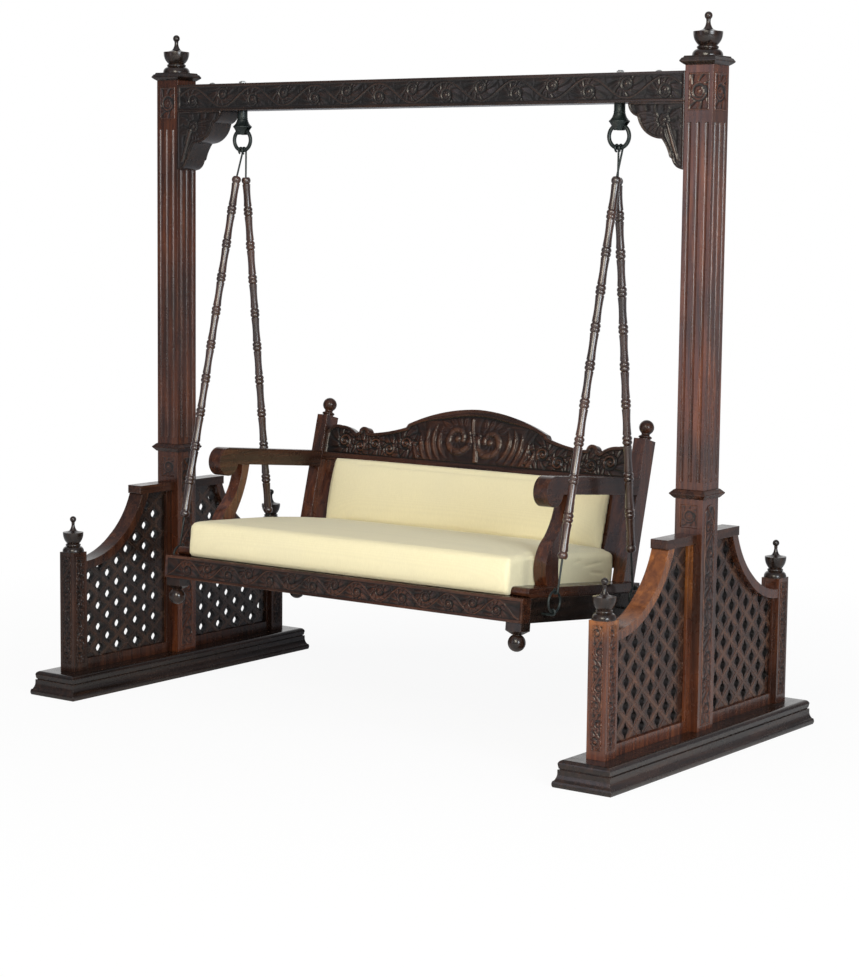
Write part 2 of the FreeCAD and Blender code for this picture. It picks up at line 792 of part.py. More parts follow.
def seat_cushion():
    half = back_post_inner - seat_pad_side_gap
    return pad(half, seat_pad_front, back_depth + seat_pad_back_reach, soft_gap, seat_pad_height,
               seat_pad_crown, seat_pad_bulge, seat_pad_corner, seat_pad_draw)


def back_cushion():
    back = crest_inset - soft_gap
    upright = pad(back_post_inner - back_pad_side_gap, back - back_pad_edge, back, back_pad_bottom,
                  back_pad_top, back_pad_crown, back_pad_bulge, back_pad_corner, back_pad_draw, False)
    return leaned(upright)


def wire_along(path, radius):
    """Round bar along a path of straight and arc edges."""
    start = path.Edges[0].valueAt(path.Edges[0].FirstParameter)
    heading = path.Edges[0].tangentAt(path.Edges[0].FirstParameter)
    section = Part.Wire(Part.makeCircle(radius, start, heading))
    return path.makePipeShell([section], True, False)


def hook(centre, root, curl, normal, radius, embed):
    """Bar from inside the root point to a round curl about the centre, in the plane of the normal."""
    along = root - centre
    distance = along.Length
    along.normalize()
    across = normal.cross(along)
    tangent = math.sqrt(distance ** 2 - curl ** 2)
    touch = along * (curl ** 2 / distance) + across * (curl * tangent / distance)
    half_turn = FreeCAD.Rotation(normal, hook_turn / 2).multVec(touch)
    full_turn = FreeCAD.Rotation(normal, hook_turn).multVec(touch)
    tail = root - centre - touch
    tail.normalize()
    edges = [
        Part.LineSegment(root + tail * embed, centre + touch).toShape(),
        Part.Arc(centre + touch, centre + half_turn, centre + full_turn).toShape(),
    ]
    return wire_along(Part.Wire(edges), radius)


def hanging_line(depth, x):
    """Points of one rod: pivot on the ring, rod ends, link and staple, from the seat's own sizes."""
    pivot = Vector(x, hang_depth, hang_drop)
    staple = Vector(hanger_offset, depth, staple_height)
    flat_staple = Vector(x, depth, staple_height)
    down = flat_staple - pivot
    reach = down.Length
    down.normalize()
    link_top = Vector(hanger_offset, pivot.y, pivot.z) + down * (reach - 2 * link_radius)
    top_end = pivot + down * hook_reach
    bottom_end = top_end + down * rod_length()
    return {"pivot": pivot, "staple": staple, "down": down, "link_top": link_top,
            "top_end": top_end, "bottom_end": bottom_end}


def rod_length():
    """All rods are alike: what the front hooks leave between the ring and the front links."""
    run = math.hypot(hang_depth - staple_front_depth, hang_drop - staple_height)
    return run - 2 * link_radius - lower_hook_reach - hook_reach


def rod_places():
    """Depth of its staple and x of each rod's axis: front rods hang outside the rear ones."""
    return {"front": (staple_front_depth, hanger_offset + lower_curl),
            "rear": (staple_rear_depth, hanger_offset - lower_curl)}


def upper_hook(line):
    return hook(line["pivot"], line["top_end"], hook_curl, Vector(1, 0, 0), hook_wire_radius, hook_embed)


def lower_hook(line):
    normal = line["down"].cross(Vector(1, 0, 0))
    if line["pivot"].x > hanger_offset:
        normal = normal * -1
    return hook(line["link_top"], line["bottom_end"], lower_curl, normal, hook_wire_radius, hook_embed)


def rod_joint(low):
    """Legs of one joint: a groove, two beads with a neck between them, and a groove."""
    first = low + rod_groove
    middle, last = first + bead_length, first + 2 * bead_length
    return [((rod_groove_radius, low),), ((rod_groove_radius, first),),
            ((bead_radius, (first + middle) / 2), (bead_neck_radius, middle)),
            ((bead_radius, (middle + last) / 2), (rod_groove_radius, last)),
            ((rod_groove_radius, last + rod_groove),)]


def rod(line):
    """Turned rod: slightly waisted lengths, two beads at each joint and a cap at each end."""
    length = rod_length()
    joint = 2 * (bead_length + rod_groove)
    top, foot = rod_cap, length - rod_cap
    legs = [((rod_cap_radius, 0),), ((bead_radius, top / 2), (rod_groove_radius, top)),
            ((rod_groove_radius, top + rod_groove),)]
    low = top + rod_groove
    for place in range(1, rod_lengths + 1):
        end = place == rod_lengths
        high = foot - rod_groove if end else place * (length - rod_foot) / rod_lengths - joint / 2
        legs += [((rod_end_radius, low),), ((waist_radius, (low + high) / 2), (rod_end_radius, high))]
        legs += [((rod_groove_radius, high),)] if end else rod_joint(high)
        low = high + joint
    legs += [((rod_groove_radius, foot),), ((bead_radius, (foot + length) / 2), (rod_cap_radius, length)),
             ((0, length),)]
    body = Part.Face(outline(on_xz(0), (0, 0), legs)).revolve(Vector(0, 0, 0), Vector(0, 0, 1), 360)
    turn = FreeCAD.Rotation(Vector(0, 0, 1), line["down"])
    body.Placement = FreeCAD.Placement(line["top_end"], turn)
    return body.cut([upper_hook(line), lower_hook(line)])


def link(line):
    """Round iron link between a rod's lower hook and the staple in the side rail."""
    centre = line["link_top"] + line["down"] * link_radius
    return Part.makeTorus(link_radius, link_wire_radius, centre, Vector(1, 0, 0))


def staple(line):
    """Iron staple driven into the side rail, curled round the bottom of the link."""
    centre = line["staple"]
    root = Vector(seat_half_width - staple_embed, centre.y, centre.z - staple_curl)
    below = centre + Vector(0, 0, -staple_curl)
    outside = centre + Vector(staple_curl * math.sqrt(0.5), 0, staple_curl * math.sqrt(0.5))
    end = centre + Vector(-staple_curl, 0, 0)
    edges = [Part.LineSegment(root, below).toShape(), Part.Arc(below, outside, end).toShape()]
    return wire_along(Part.Wire(edges), link_wire_radius)


def hung(shape):
    """From the seat's own frame to its place under the rings, leaning back."""
    shape = shape.translated(Vector(0, -hang_depth, -hang_drop))
    shape = shape.rotated(Vector(0, 0, 0), Vector(1, 0, 0), -seat_tilt)
    return shape.translated(Vector(0, 0, seat_pivot))


def stand_pieces():
    """Each piece of the stand by name."""
    pieces = {"beam": beam()}
    sides = {"right": lambda shape: shape, "left": flip_x}
    ends = {"front": flip_y, "rear": lambda shape: shape}
    whole = {"base": base(), "post": main_post(), "bracket": bracket()}
    wing = {"newel": newel(), "ledge": ledge(), "lattice": lattice(),
            "wing_frame": Part.makeCompound(wing_frame())}
    for side, to_side in sides.items():
        for name, shape in whole.items():
            pieces[f"{name}_{side}"] = to_side(shape)
        for end, to_end in ends.items():
            for name, shape in wing.items():
                pieces[f"{name}_{side}_{end}"] = to_side(to_end(shape))
    pieces["post_collars"] = both_sides(collar())
    pieces["post_caps"] = both_sides(cap())
    pieces["post_finials"] = both_sides(post_finial())
    rear_pair = both_sides(newel_finial())
    pieces["newel_finials"] = Part.makeCompound([rear_pair, flip_y(rear_pair)])
    return pieces


def hanger_pieces():
    """Iron of the two hangers by name."""
    return {
        "hanger_bosses": both_sides(hanger_boss()),
        "hanger_pins": both_sides(at(cross_pin(), hanger_offset)),
        "hanger_nuts": both_sides(Part.makeCompound(nut_and_washer())),
        "bracket_bolts": both_sides(bracket_bolt()),
        "hanger_rings": both_sides(hanger_ring()),
    }


def seat_pieces():
    """Each piece of the seat by name, in the seat's own frame."""
    front, rear, side = rails()
    front_foot = foot(foot_inset + foot_block_depth / 2)
    feet = Part.makeCompound([both_sides(front_foot), both_sides(foot(foot_rear_depth))])
    pieces = {
        "front_rail": front, "rear_rail": rear, "seat_board": seat_board(), "seat_feet": feet,
        "crest_rail": crest_rail(), "back_frame": Part.makeCompound(back_frame()),
        "back_panel": back_panel(), "back_post_balls": both_sides(back_ball()),
        "seat_cushion": seat_cushion(), "back_cushion": back_cushion(),
    }
    paired = {"side_rail": side, "side_plank": side_plank(), "back_post": back_post(),
              "arm": arm(), "arm_support": arm_support()}
    for name, shape in paired.items():
        pieces[name + "_right"] = shape
        pieces[name + "_left"] = flip_x(shape)
    return pieces


def rod_pieces():
    """The four rods and the iron at their ends, in the seat's own frame."""
    pieces = {}
    iron = {"upper_hooks": [], "lower_hooks": [], "links": [], "staples": []}
    for end, (depth, x) in rod_places().items():
        line = hanging_line(depth, x)
        turned_rod = rod(line)
        pieces["rod_right_" + end] = turned_rod
        pieces["rod_left_" + end] = flip_x(turned_rod)
        for name, shape in (("upper_hooks", upper_hook(line)), ("lower_hooks", lower_hook(line)),
                            ("links", link(line)), ("staples", staple(line))):
            iron[name].append(both_sides(shape))
    for name, shapes in iron.items():
        pieces[name] = Part.makeCompound(shapes)
    return pieces


def main():
    os.makedirs("parts", exist_ok=True)
    pieces = {**stand_pieces(), **hanger_pieces()}
    for name, shape in {**seat_pieces(), **rod_pieces()}.items():
        pieces[name] = hung(shape)
    for name, shape in pieces.items():
        shape.exportStep(f"parts/{name}.step")


main()
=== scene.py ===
"""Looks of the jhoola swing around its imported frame: timber, carving, iron and two cushions.

Metres, in the frame's axes: X along the beam, Y from front to back and Z up.
"""
import math

import bmesh
import bpy
import numpy as np
from mathutils import Matrix, Vector


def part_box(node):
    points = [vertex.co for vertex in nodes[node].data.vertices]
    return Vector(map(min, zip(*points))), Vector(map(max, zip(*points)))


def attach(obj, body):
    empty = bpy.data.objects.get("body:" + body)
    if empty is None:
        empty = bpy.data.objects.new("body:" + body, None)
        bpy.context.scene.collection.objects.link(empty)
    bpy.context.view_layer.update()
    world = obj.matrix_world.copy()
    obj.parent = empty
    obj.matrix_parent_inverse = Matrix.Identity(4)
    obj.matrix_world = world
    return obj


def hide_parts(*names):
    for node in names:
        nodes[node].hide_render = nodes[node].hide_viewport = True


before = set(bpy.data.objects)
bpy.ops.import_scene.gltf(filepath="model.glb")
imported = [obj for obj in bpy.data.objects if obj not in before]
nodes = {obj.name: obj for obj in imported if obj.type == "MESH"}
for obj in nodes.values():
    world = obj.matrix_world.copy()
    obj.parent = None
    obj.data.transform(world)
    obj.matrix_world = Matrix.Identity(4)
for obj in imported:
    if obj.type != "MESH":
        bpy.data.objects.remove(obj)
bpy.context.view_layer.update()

scene = bpy.context.scene

# Camera, at the photograph's viewing angle
camera_place = (4.3715, -5.9776, 1.5651)
camera_yaw = 0.6259
camera_pitch = -0.1162
camera_roll = 0.0113
camera_focal_pixels = 2387.1
photo_long_side = 977
sensor_width = 36.0

# Carving, in metres
carve_step = 0.0022
carve_ground = 0.0004
carve_back = 0.0012
carve_height = 0.0048
carve_margin = 0.0008
sunk_margin = 0.0004
sunk_depth = 0.003
newel_step = 0.0018

# Running scrolls: pitch and swing of the flowers, a flower's size, width of the border and height
beam_scroll = (0.127, 0.010, 0.0215, 0.0105, carve_height)
rail_scroll = (0.084, 0.0055, 0.0170, 0.0090, 0.0052)
newel_scroll = (0.050, 0.0040, 0.0125, 0.0016, 0.0056)
post_scroll = (0.076, 0.009, 0.018, 0.0034, 0.0050)

# Sunk panels of the posts: lowest and highest level, and the flower's size and height
flower_zone = (1.80, 2.0)
flower_form = (0.027, 0.0046)
medallion_zone = (0.65, 0.75)
medallion_form = (0.020, 0.0016)
medallion_border = 0.004
leafage_zone = (0.05, 0.75)
leafage_first = 0.045

# Brackets, from the corner of post and beam: the flower, and its leaves' heading, length and width
bracket_flower = (0.067, 0.050)
bracket_flower_radius = 0.020
bracket_leaf_root = 0.018
bracket_leaves = ((-0.35, 0.085, 0.030), (0.05, 0.095, 0.032), (0.55, 0.070, 0.026),
                  (1.15, 0.062, 0.026), (1.75, 0.070, 0.028), (2.6, 0.050, 0.024),
                  (3.5, 0.048, 0.024), (4.4, 0.045, 0.024))
bracket_border = 0.0065

# Crest, by distance from the middle and height over its foot: each swirl's place, way and level
crest_tall = 0.0070
crest_swirls = ((-0.064, -1, 0.104), (0.062, 1, 0.098))
crest_swirl_reach = 0.060
crest_middle = (0.062, 0.100)
crest_leaf_headings = (2.15, 1.75, 1.35, 0.95, 0.55)
crest_leaf_root = 0.047
crest_leaf = (0.044, 0.026)
crest_border = 0.0115
crest_border_more = 0.013
crest_foot = 0.026
crest_back_band = (0.014, 0.002)
crest_back_ground = 0.0013
crest_back_step = 0.004

# Side scrolls of the crest: distance from the middle, height over its foot and radius
crest_scrolls = ((0.205, 0.062, 0.030), (0.268, 0.076, 0.025), (0.330, 0.052, 0.024),
                 (0.392, 0.066, 0.023), (0.452, 0.054, 0.023), (0.520, 0.068, 0.029))

# Fronds that bend round the swirls: radius, first and last angle in degrees, and width
crest_fronds = ((0.072, -62, 34, 0.021), (0.094, -50, 28, 0.022), (0.117, -42, 16, 0.022),
                (0.141, -36, 4, 0.021), (0.166, -31, -6, 0.020))

# Pierced panels: half pitch and first cell, the strips, and the holes' reach sideways, up and between
lattice_half_y = 0.044
lattice_half_z = 0.0345
lattice_first_y = 0.121
lattice_first_z = 0.135
lattice_columns = range(-3, 12)
lattice_rows = range(-2, 12)
lattice_strip = 0.0046
lattice_slope = 0.0008
lattice_raised = 0.0009
lattice_bevel = 0.0004
lattice_points = 40
hole_rim = (0.0225, 0.0262, 0.0162)
hole_right = (0.0132, 0.0225, 0.0128)
hole_left = (0.0158, 0.0235, 0.0142)
hole_found = 0.0215
hole_corners = 8

# Cushions: lean of the seat and of its back, the cloth's limits, seams and gathers
seat_lean = math.radians(-5.35)
back_lean = math.radians(-14.72)
cushion_voxel = 0.008
cushion_shrink = 0.0022
cushion_cap = 0.0055
cushion_least = 0.0016
cushion_slip = 0.0020
cushion_widen = 0.016
cushion_held = (0.07, 0.145)
seam_depth = 0.0014
seam_tilt = 0.62
seam_spread = 0.16
fold_depth = 0.0035
fold_width = 0.0035
cloth_steps = 20
cloth_settings = {"quality": 5, "mass": 0.3, "tension_stiffness": 14.0, "compression_stiffness": 14.0,
                  "shear_stiffness": 5.0, "bending_stiffness": 0.4, "use_pressure": True,
                  "uniform_pressure_force": 4.0}

# Gathers at the seat cushion's right end: start from its rear, length, level and rise
cushion_folds = ((-0.19, 0.13, 0.078, 0.10), (-0.15, 0.09, 0.060, -0.06), (-0.24, 0.05, 0.088, 0.20))

# Which way the grain runs in each timber node, by the start of its name
grain_along = {
    "x": ("beam", "front_rail", "rear_rail", "crest_rail", "back_panel", "seat_board"),
    "y": ("base", "side_rail", "side_plank", "arm_r", "arm_l", "ledge"),
}

# How red the lacquer is, by the start of a node's name; the rest is brown
tones = {"painted_shade": 0.0, "dark": 0.06, "rod": 0.35, "brown": 0.42, "red": 0.95, "painted_sheen": 1.0}
tone_of_nodes = {
    # The darkest tone, with no red and a weak coat and reflection, is painted shade on the seat's side
    # rail and board
    "painted_shade": ("side_rail", "seat_board"),
    # lattice_left takes this dark tone and the left newels and wing frames stay brown while the right
    # ones are red: painted shade on the left stand
    "dark": ("beam", "bracket", "rear_rail", "lattice_left", "post_caps", "post_finials", "base",
             "seat_feet", "newel_finials"),
    "rod": ("rod",),
    # Orange tone: a painted highlight on the upper part of the right front newel and wing frame
    "painted_sheen": ("newel_right_front", "wing_frame_right_front"),
    "red": ("post_left", "post_right", "newel_right", "wing_frame_right", "arm_support", "back_post_l",
            "back_post_r", "back_frame", "back_panel"),
}

# Weight of the clear coat and level of the reflection, by tone
gloss = {"painted_shade": (0.05, 0.12), "dark": (0.24, 0.36), "brown": (0.14, 0.28), "rod": (0.9, 0.5)}
gloss_else = (0.30, 0.45)

# Colours of the timber's streaks from dark to light, and of its pores, edges, painted shade in the
# recesses and high carving
dark_stops = [(0.30, (0.004, 0.003, 0.0025)), (0.48, (0.009, 0.006, 0.0045)),
              (0.62, (0.018, 0.010, 0.007)), (0.80, (0.034, 0.018, 0.010))]
red_stops = [(0.30, (0.030, 0.008, 0.004)), (0.48, (0.075, 0.020, 0.008)),
             (0.62, (0.130, 0.037, 0.013)), (0.80, (0.200, 0.062, 0.020))]
# Streaks of the orange tone's painted highlight, and the heights over which it fades in
painted_sheen_stops = [(0.30, (0.120, 0.034, 0.006)), (0.50, (0.230, 0.070, 0.012)),
                (0.80, (0.380, 0.130, 0.022))]
painted_sheen_low = 0.40
painted_sheen_high = 0.46
pore_colour = (0.005, 0.003, 0.003)
edge_colour = (0.170, 0.085, 0.045)
edge_radius = 0.0024
recess_shade_colour = (0.002, 0.0015, 0.001)
high_colour = (0.230, 0.110, 0.060)

# Colours of the cloth: its slubs, soil and the gaps of its weave
cloth_stops = [(0.30, (0.725, 0.655, 0.425)), (0.52, (0.748, 0.676, 0.442)),
               (0.72, (0.770, 0.698, 0.460))]
soil_colour = (0.660, 0.610, 0.440)
gap_colour = (0.45, 0.40, 0.28)

iron_nodes = ("hanger_bosses", "hanger_pins", "hanger_rings", "upper_hooks", "lower_hooks", "links",
              "staples")
steel_nodes = ("hanger_nuts", "bracket_bolts")

# Studio: colour, directions of the front light and of the backdrop behind the object, and the floor
studio_colour = (0.88, 0.90, 1.0, 1)
front_way = (0.45, -0.88, 0.15)
backdrop_way = (-0.582, 0.805, -0.116)
floor_colour = (0.86, 0.86, 0.86, 1)
floor_reach = 40.0

# Softboxes: place, point aimed at, size, power and colour
softboxes = {
    "key": ((-2.35, -6.1, 1.9), (0.6, 0, 1.0), (1.4, 3.6), 26, (0.90, 0.88, 1.0)),
    "front": ((2.2, -5.2, 3.4), (0, 0, 0.9), (2.5, 2.5), 222, (1.0, 0.935, 0.78)),
    "right": ((6.0, -3.0, 2.2), (0, 0, 0.9), (2.5, 2.5), 275, (0.88, 0.95, 1.0)),
    "back_right": ((3.9, 3.0, 1.4), (1.0, 0, 1.0), (2.6, 2.6), 7, (0.90, 0.90, 1.0)),
    "top": ((0.5, -1.0, 5.5), (0, 0, 0.8), (4.0, 4.0), 12, (1, 1, 1)),
}


def new_material(name):
    material = bpy.data.materials.new(name)
    material.use_nodes = True
    tree = material.node_tree
    shader = tree.nodes["Principled BSDF"]
    return material, tree, shader


def add(tree, kind, settings=None, **inputs):
    """New shader node: settings are its properties, inputs its sockets."""
    made = tree.nodes.new("ShaderNode" + kind)
    for name, value in (settings or {}).items():
        setattr(made, name, value)
    connect(tree, made, **inputs)
    return made


def connect(tree, node, **inputs):
    """Plug a node's sockets by name, with _ for a space."""
    for name, value in inputs.items():
        plug(tree, value, node.inputs[name.replace("_", " ")])


def plug(tree, value, socket):
    """Link an output into the socket, or set the socket's own value."""
    if isinstance(value, bpy.types.NodeSocket):
        tree.links.new(value, socket)
    else:
        socket.default_value = value


def maths(tree, operation, first, second):
    made = tree.nodes.new("ShaderNodeMath")
    made.operation = operation
    plug(tree, first, made.inputs[0])
    plug(tree, second, made.inputs[1])
    return made.outputs[0]


def ramp(tree, value, stops):
    made = tree.nodes.new("ShaderNodeValToRGB")
    bar = made.color_ramp
    bar.elements[0].position, bar.elements[0].color = stops[0][0], (*stops[0][1], 1)
    bar.elements[1].position, bar.elements[1].color = stops[-1][0], (*stops[-1][1], 1)
    for place, colour in stops[1:-1]:
        bar.elements.new(place).color = (*colour, 1)
    plug(tree, value, made.inputs[0])
    return made.outputs[0]


def spread(tree, value, low, high, low_to=0.0, high_to=1.0):
    """Value mapped from low to high on to a new range, and held at its ends."""
    made = add(tree, "MapRange", None, Value=value)
    for name, number in (("From Min", low), ("From Max", high), ("To Min", low_to), ("To Max", high_to)):
        made.inputs[name].default_value = number
    return made.outputs[0]


def blended(tree, share, first, second):
    made = tree.nodes.new("ShaderNodeMix")
    made.data_type = "RGBA"
    plug(tree, share, made.inputs[0])
    for socket, value in ((made.inputs[6], first), (made.inputs[7], second)):
        plug(tree, (*value, 1) if isinstance(value, tuple) and len(value) == 3 else value, socket)
    return made.outputs[2]


def mixed_shader(tree, share, first, second):
    made = tree.nodes.new("ShaderNodeMixShader")
    for socket, value in zip(made.inputs, (share, first, second)):
        plug(tree, value, socket)
    return made.outputs[0]


def noise(tree, place, scale, detail=4.0, roughness=0.55, distortion=0.0):
    made = add(tree, "TexNoise", None, Vector=place, Scale=scale, Detail=detail,
               Roughness=roughness, Distortion=distortion)
    return made.outputs["Fac"]


def object_place(tree):
    return tree.nodes.new("ShaderNodeTexCoord").outputs["Object"]


def edge_wear(tree, radius):
    """Normal rounded at the edges, and a share that is 1 right on an edge."""
    bevel = add(tree, "Bevel", {"samples": 4}, Radius=radius)
    geometry = tree.nodes.new("ShaderNodeNewGeometry")
    dot = add(tree, "VectorMath", {"operation": "DOT_PRODUCT"})
    plug(tree, bevel.outputs[0], dot.inputs[0])
    plug(tree, geometry.outputs["Normal"], dot.inputs[1])
    return bevel.outputs[0], spread(tree, dot.outputs["Value"], 0.995, 0.80)


def wood(name, along, tone, carved=False):
    """Dark rosewood lacquer: grain along one axis, worn edges, painted shade in the recesses, worn
    patches.
    """
    material, tree, shader = new_material(name)
    place = object_place(tree)
    stretch = [1.0, 1.0, 1.0]
    stretch["xyz".index(along)] = 0.06
    grain_place = add(tree, "Mapping", None, Vector=place, Scale=stretch).outputs[0]
    streaks = noise(tree, grain_place, 55.0, 8.0, 0.6, 0.6)
    pores = noise(tree, grain_place, 420.0, 3.0, 0.5)
    patches = noise(tree, place, 2.6, 3.0, 0.5, 0.3)
    cloud = noise(tree, place, 14.0, 4.0, 0.6)
    dark = ramp(tree, streaks, dark_stops)
    red = ramp(tree, streaks, red_stops)
    # Painted highlight: orange streaks in cloudy patches above a height, and more red all over
    if tone == "painted_sheen":
        level = add(tree, "SeparateXYZ", None, Vector=place).outputs["Z"]
        lit = maths(tree, "MULTIPLY", spread(tree, level, painted_sheen_low, painted_sheen_high),
                    spread(tree, cloud, 0.40, 0.60, 0.45, 1.0))
        red = blended(tree, lit, red, ramp(tree, streaks, painted_sheen_stops))
    least = 0.70 if tone == "painted_sheen" else 0.30
    share = maths(tree, "MULTIPLY", spread(tree, patches, 0.34, 0.62, least, 1.0), tones[tone])
    colour = blended(tree, share, dark, red)
    colour = blended(tree, spread(tree, pores, 0.60, 0.74, 0.0, 0.6), colour, pore_colour)
    rounded, edge = edge_wear(tree, edge_radius)
    wear = maths(tree, "MULTIPLY", edge, spread(tree, cloud, 0.40, 0.60))
    colour = blended(tree, maths(tree, "MULTIPLY", wear, 0.32), colour, edge_colour)
    rough = spread(tree, cloud, 0.3, 0.7, 0.18, 0.34)
    if carved:
        lift = add(tree, "Attribute", {"attribute_name": "lift"}).outputs["Fac"]
        # Painted shade: low carving, and walls given lift 0, turn near black
        low = spread(tree, lift, 0.60, 0.10)
        colour = blended(tree, maths(tree, "MULTIPLY", low, 0.94), colour, recess_shade_colour)
        high = maths(tree, "MULTIPLY", spread(tree, lift, 0.60, 1.0), spread(tree, cloud, 0.38, 0.58))
        high = maths(tree, "MULTIPLY", high, 0.14 + 0.42 * tones[tone])
        colour = blended(tree, high, colour, high_colour)
        rough = maths(tree, "ADD", rough, maths(tree, "MULTIPLY", low, 0.25))
    coat, specular = gloss.get(tone, gloss_else)
    fine = maths(tree, "ADD", maths(tree, "MULTIPLY", streaks, 0.6), maths(tree, "MULTIPLY", pores, 0.4))
    bump = add(tree, "Bump", None, Strength=0.25, Distance=0.0006, Height=fine, Normal=rounded)
    connect(tree, shader, Base_Color=colour, Roughness=rough, Coat_Weight=coat,
            Coat_Roughness=0.30 if tone == "rod" else 0.13, Specular_IOR_Level=specular,
            Normal=bump.outputs[0])
    return material


def metal(name, dark, middle, light, rough, metallic):
    """Old metal: a patchy skin in three tones with a fine scale, bare on its edges."""
    material, tree, shader = new_material(name)
    place = object_place(tree)
    scale = noise(tree, place, 160.0, 5.0, 0.6)
    patches = noise(tree, place, 30.0, 4.0, 0.6)
    colour = ramp(tree, patches, [(0.35, dark), (0.55, middle), (0.75, light)])
    rounded, edge = edge_wear(tree, 0.0012)
    bare = tuple(min(1.0, 2.2 * part) for part in light)
    colour = blended(tree, maths(tree, "MULTIPLY", edge, 0.5), colour, bare)
    bump = add(tree, "Bump", None, Strength=0.35, Distance=0.0005, Height=scale, Normal=rounded)
    connect(tree, shader, Base_Color=colour, Roughness=spread(tree, patches, 0.3, 0.7, *rough),
            Metallic=metallic, Normal=bump.outputs[0])
    return material


def cloth():
    """Cream cotton in a fine plain weave, with slubs and a little fuzz."""
    material, tree, shader = new_material("cushion_cloth")
    place = object_place(tree)
    threads = [add(tree, "TexWave", {"wave_type": "BANDS", "bands_direction": way}, Vector=place,
                   Scale=190.0, Distortion=0.8, Detail=2.0).outputs["Fac"] for way in "XYZ"]
    weave = maths(tree, "ADD", maths(tree, "ADD", threads[0], threads[1]), threads[2])
    weave = maths(tree, "MULTIPLY", weave, 1 / 3)
    slub = noise(tree, add(tree, "Mapping", None, Vector=place, Scale=(90.0, 40.0, 18.0)).outputs[0], 4.0)
    soil = noise(tree, place, 5.0, 3.0)
    colour = ramp(tree, slub, cloth_stops)
    colour = blended(tree, spread(tree, soil, 0.45, 0.75, 0.0, 0.22), colour, soil_colour)
    colour = blended(tree, spread(tree, weave, 0.30, 0.55, 0.10, 0.0), colour, gap_colour)
    bump = add(tree, "Bump", None, Strength=0.35, Distance=0.0008, Height=weave)
    connect(tree, shader, Base_Color=colour, Roughness=0.92, Specular_IOR_Level=0.25,
            Sheen_Weight=0.12, Normal=bump.outputs[0])
    return material


wood_made = {}
iron_material = metal("iron", (0.006, 0.010, 0.010), (0.015, 0.022, 0.021), (0.035, 0.036, 0.032),
                      (0.28, 0.50), 0.35)
steel_material = metal("pale_steel", (0.30, 0.30, 0.29), (0.42, 0.42, 0.41), (0.55, 0.55, 0.54),
                       (0.30, 0.50), 0.8)
cloth_material = cloth()


def wood_of(name, carved=False):
    """The timber for a node: its grain direction, its tone and whether it is carved."""
    along = next((way for way, starts in grain_along.items() if name.startswith(starts)), "z")
    tone = next((key for key, starts in tone_of_nodes.items() if name.startswith(starts)), "brown")
    key = ("carved" if carved else "wood") + f"_{tone}_{along}"
    if key not in wood_made:
        wood_made[key] = wood(key, along, tone, carved)
    return wood_made[key]


def dress(node, material):
    node.data.materials.clear()
    node.data.materials.append(material)


def dress_nodes():
    for name, node in nodes.items():
        if name in iron_nodes:
            dress(node, iron_material)
        elif name in steel_nodes:
            dress(node, steel_material)
        elif name.endswith("cushion"):
            dress(node, cloth_material)
        else:
            dress(node, wood_of(name))


dress_nodes()


# Shapes from numbers

def mesh_piece(name, points, faces, body, material, smooth=True):
    """A new mesh piece in the row frame that rides on a body."""
    mesh = bpy.data.meshes.new(name)
    mesh.from_pydata([tuple(point) for point in points], [], [tuple(face) for face in faces])
    mesh.materials.append(material)
    if smooth:
        mesh.polygons.foreach_set("use_smooth", [True] * len(mesh.polygons))
    piece = bpy.data.objects.new(name, mesh)
    scene.collection.objects.link(piece)
    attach(piece, body)
    return piece


def coordinates(mesh):
    found = np.empty(len(mesh.vertices) * 3)
    mesh.vertices.foreach_get("co", found)
    return found.reshape(-1, 3)


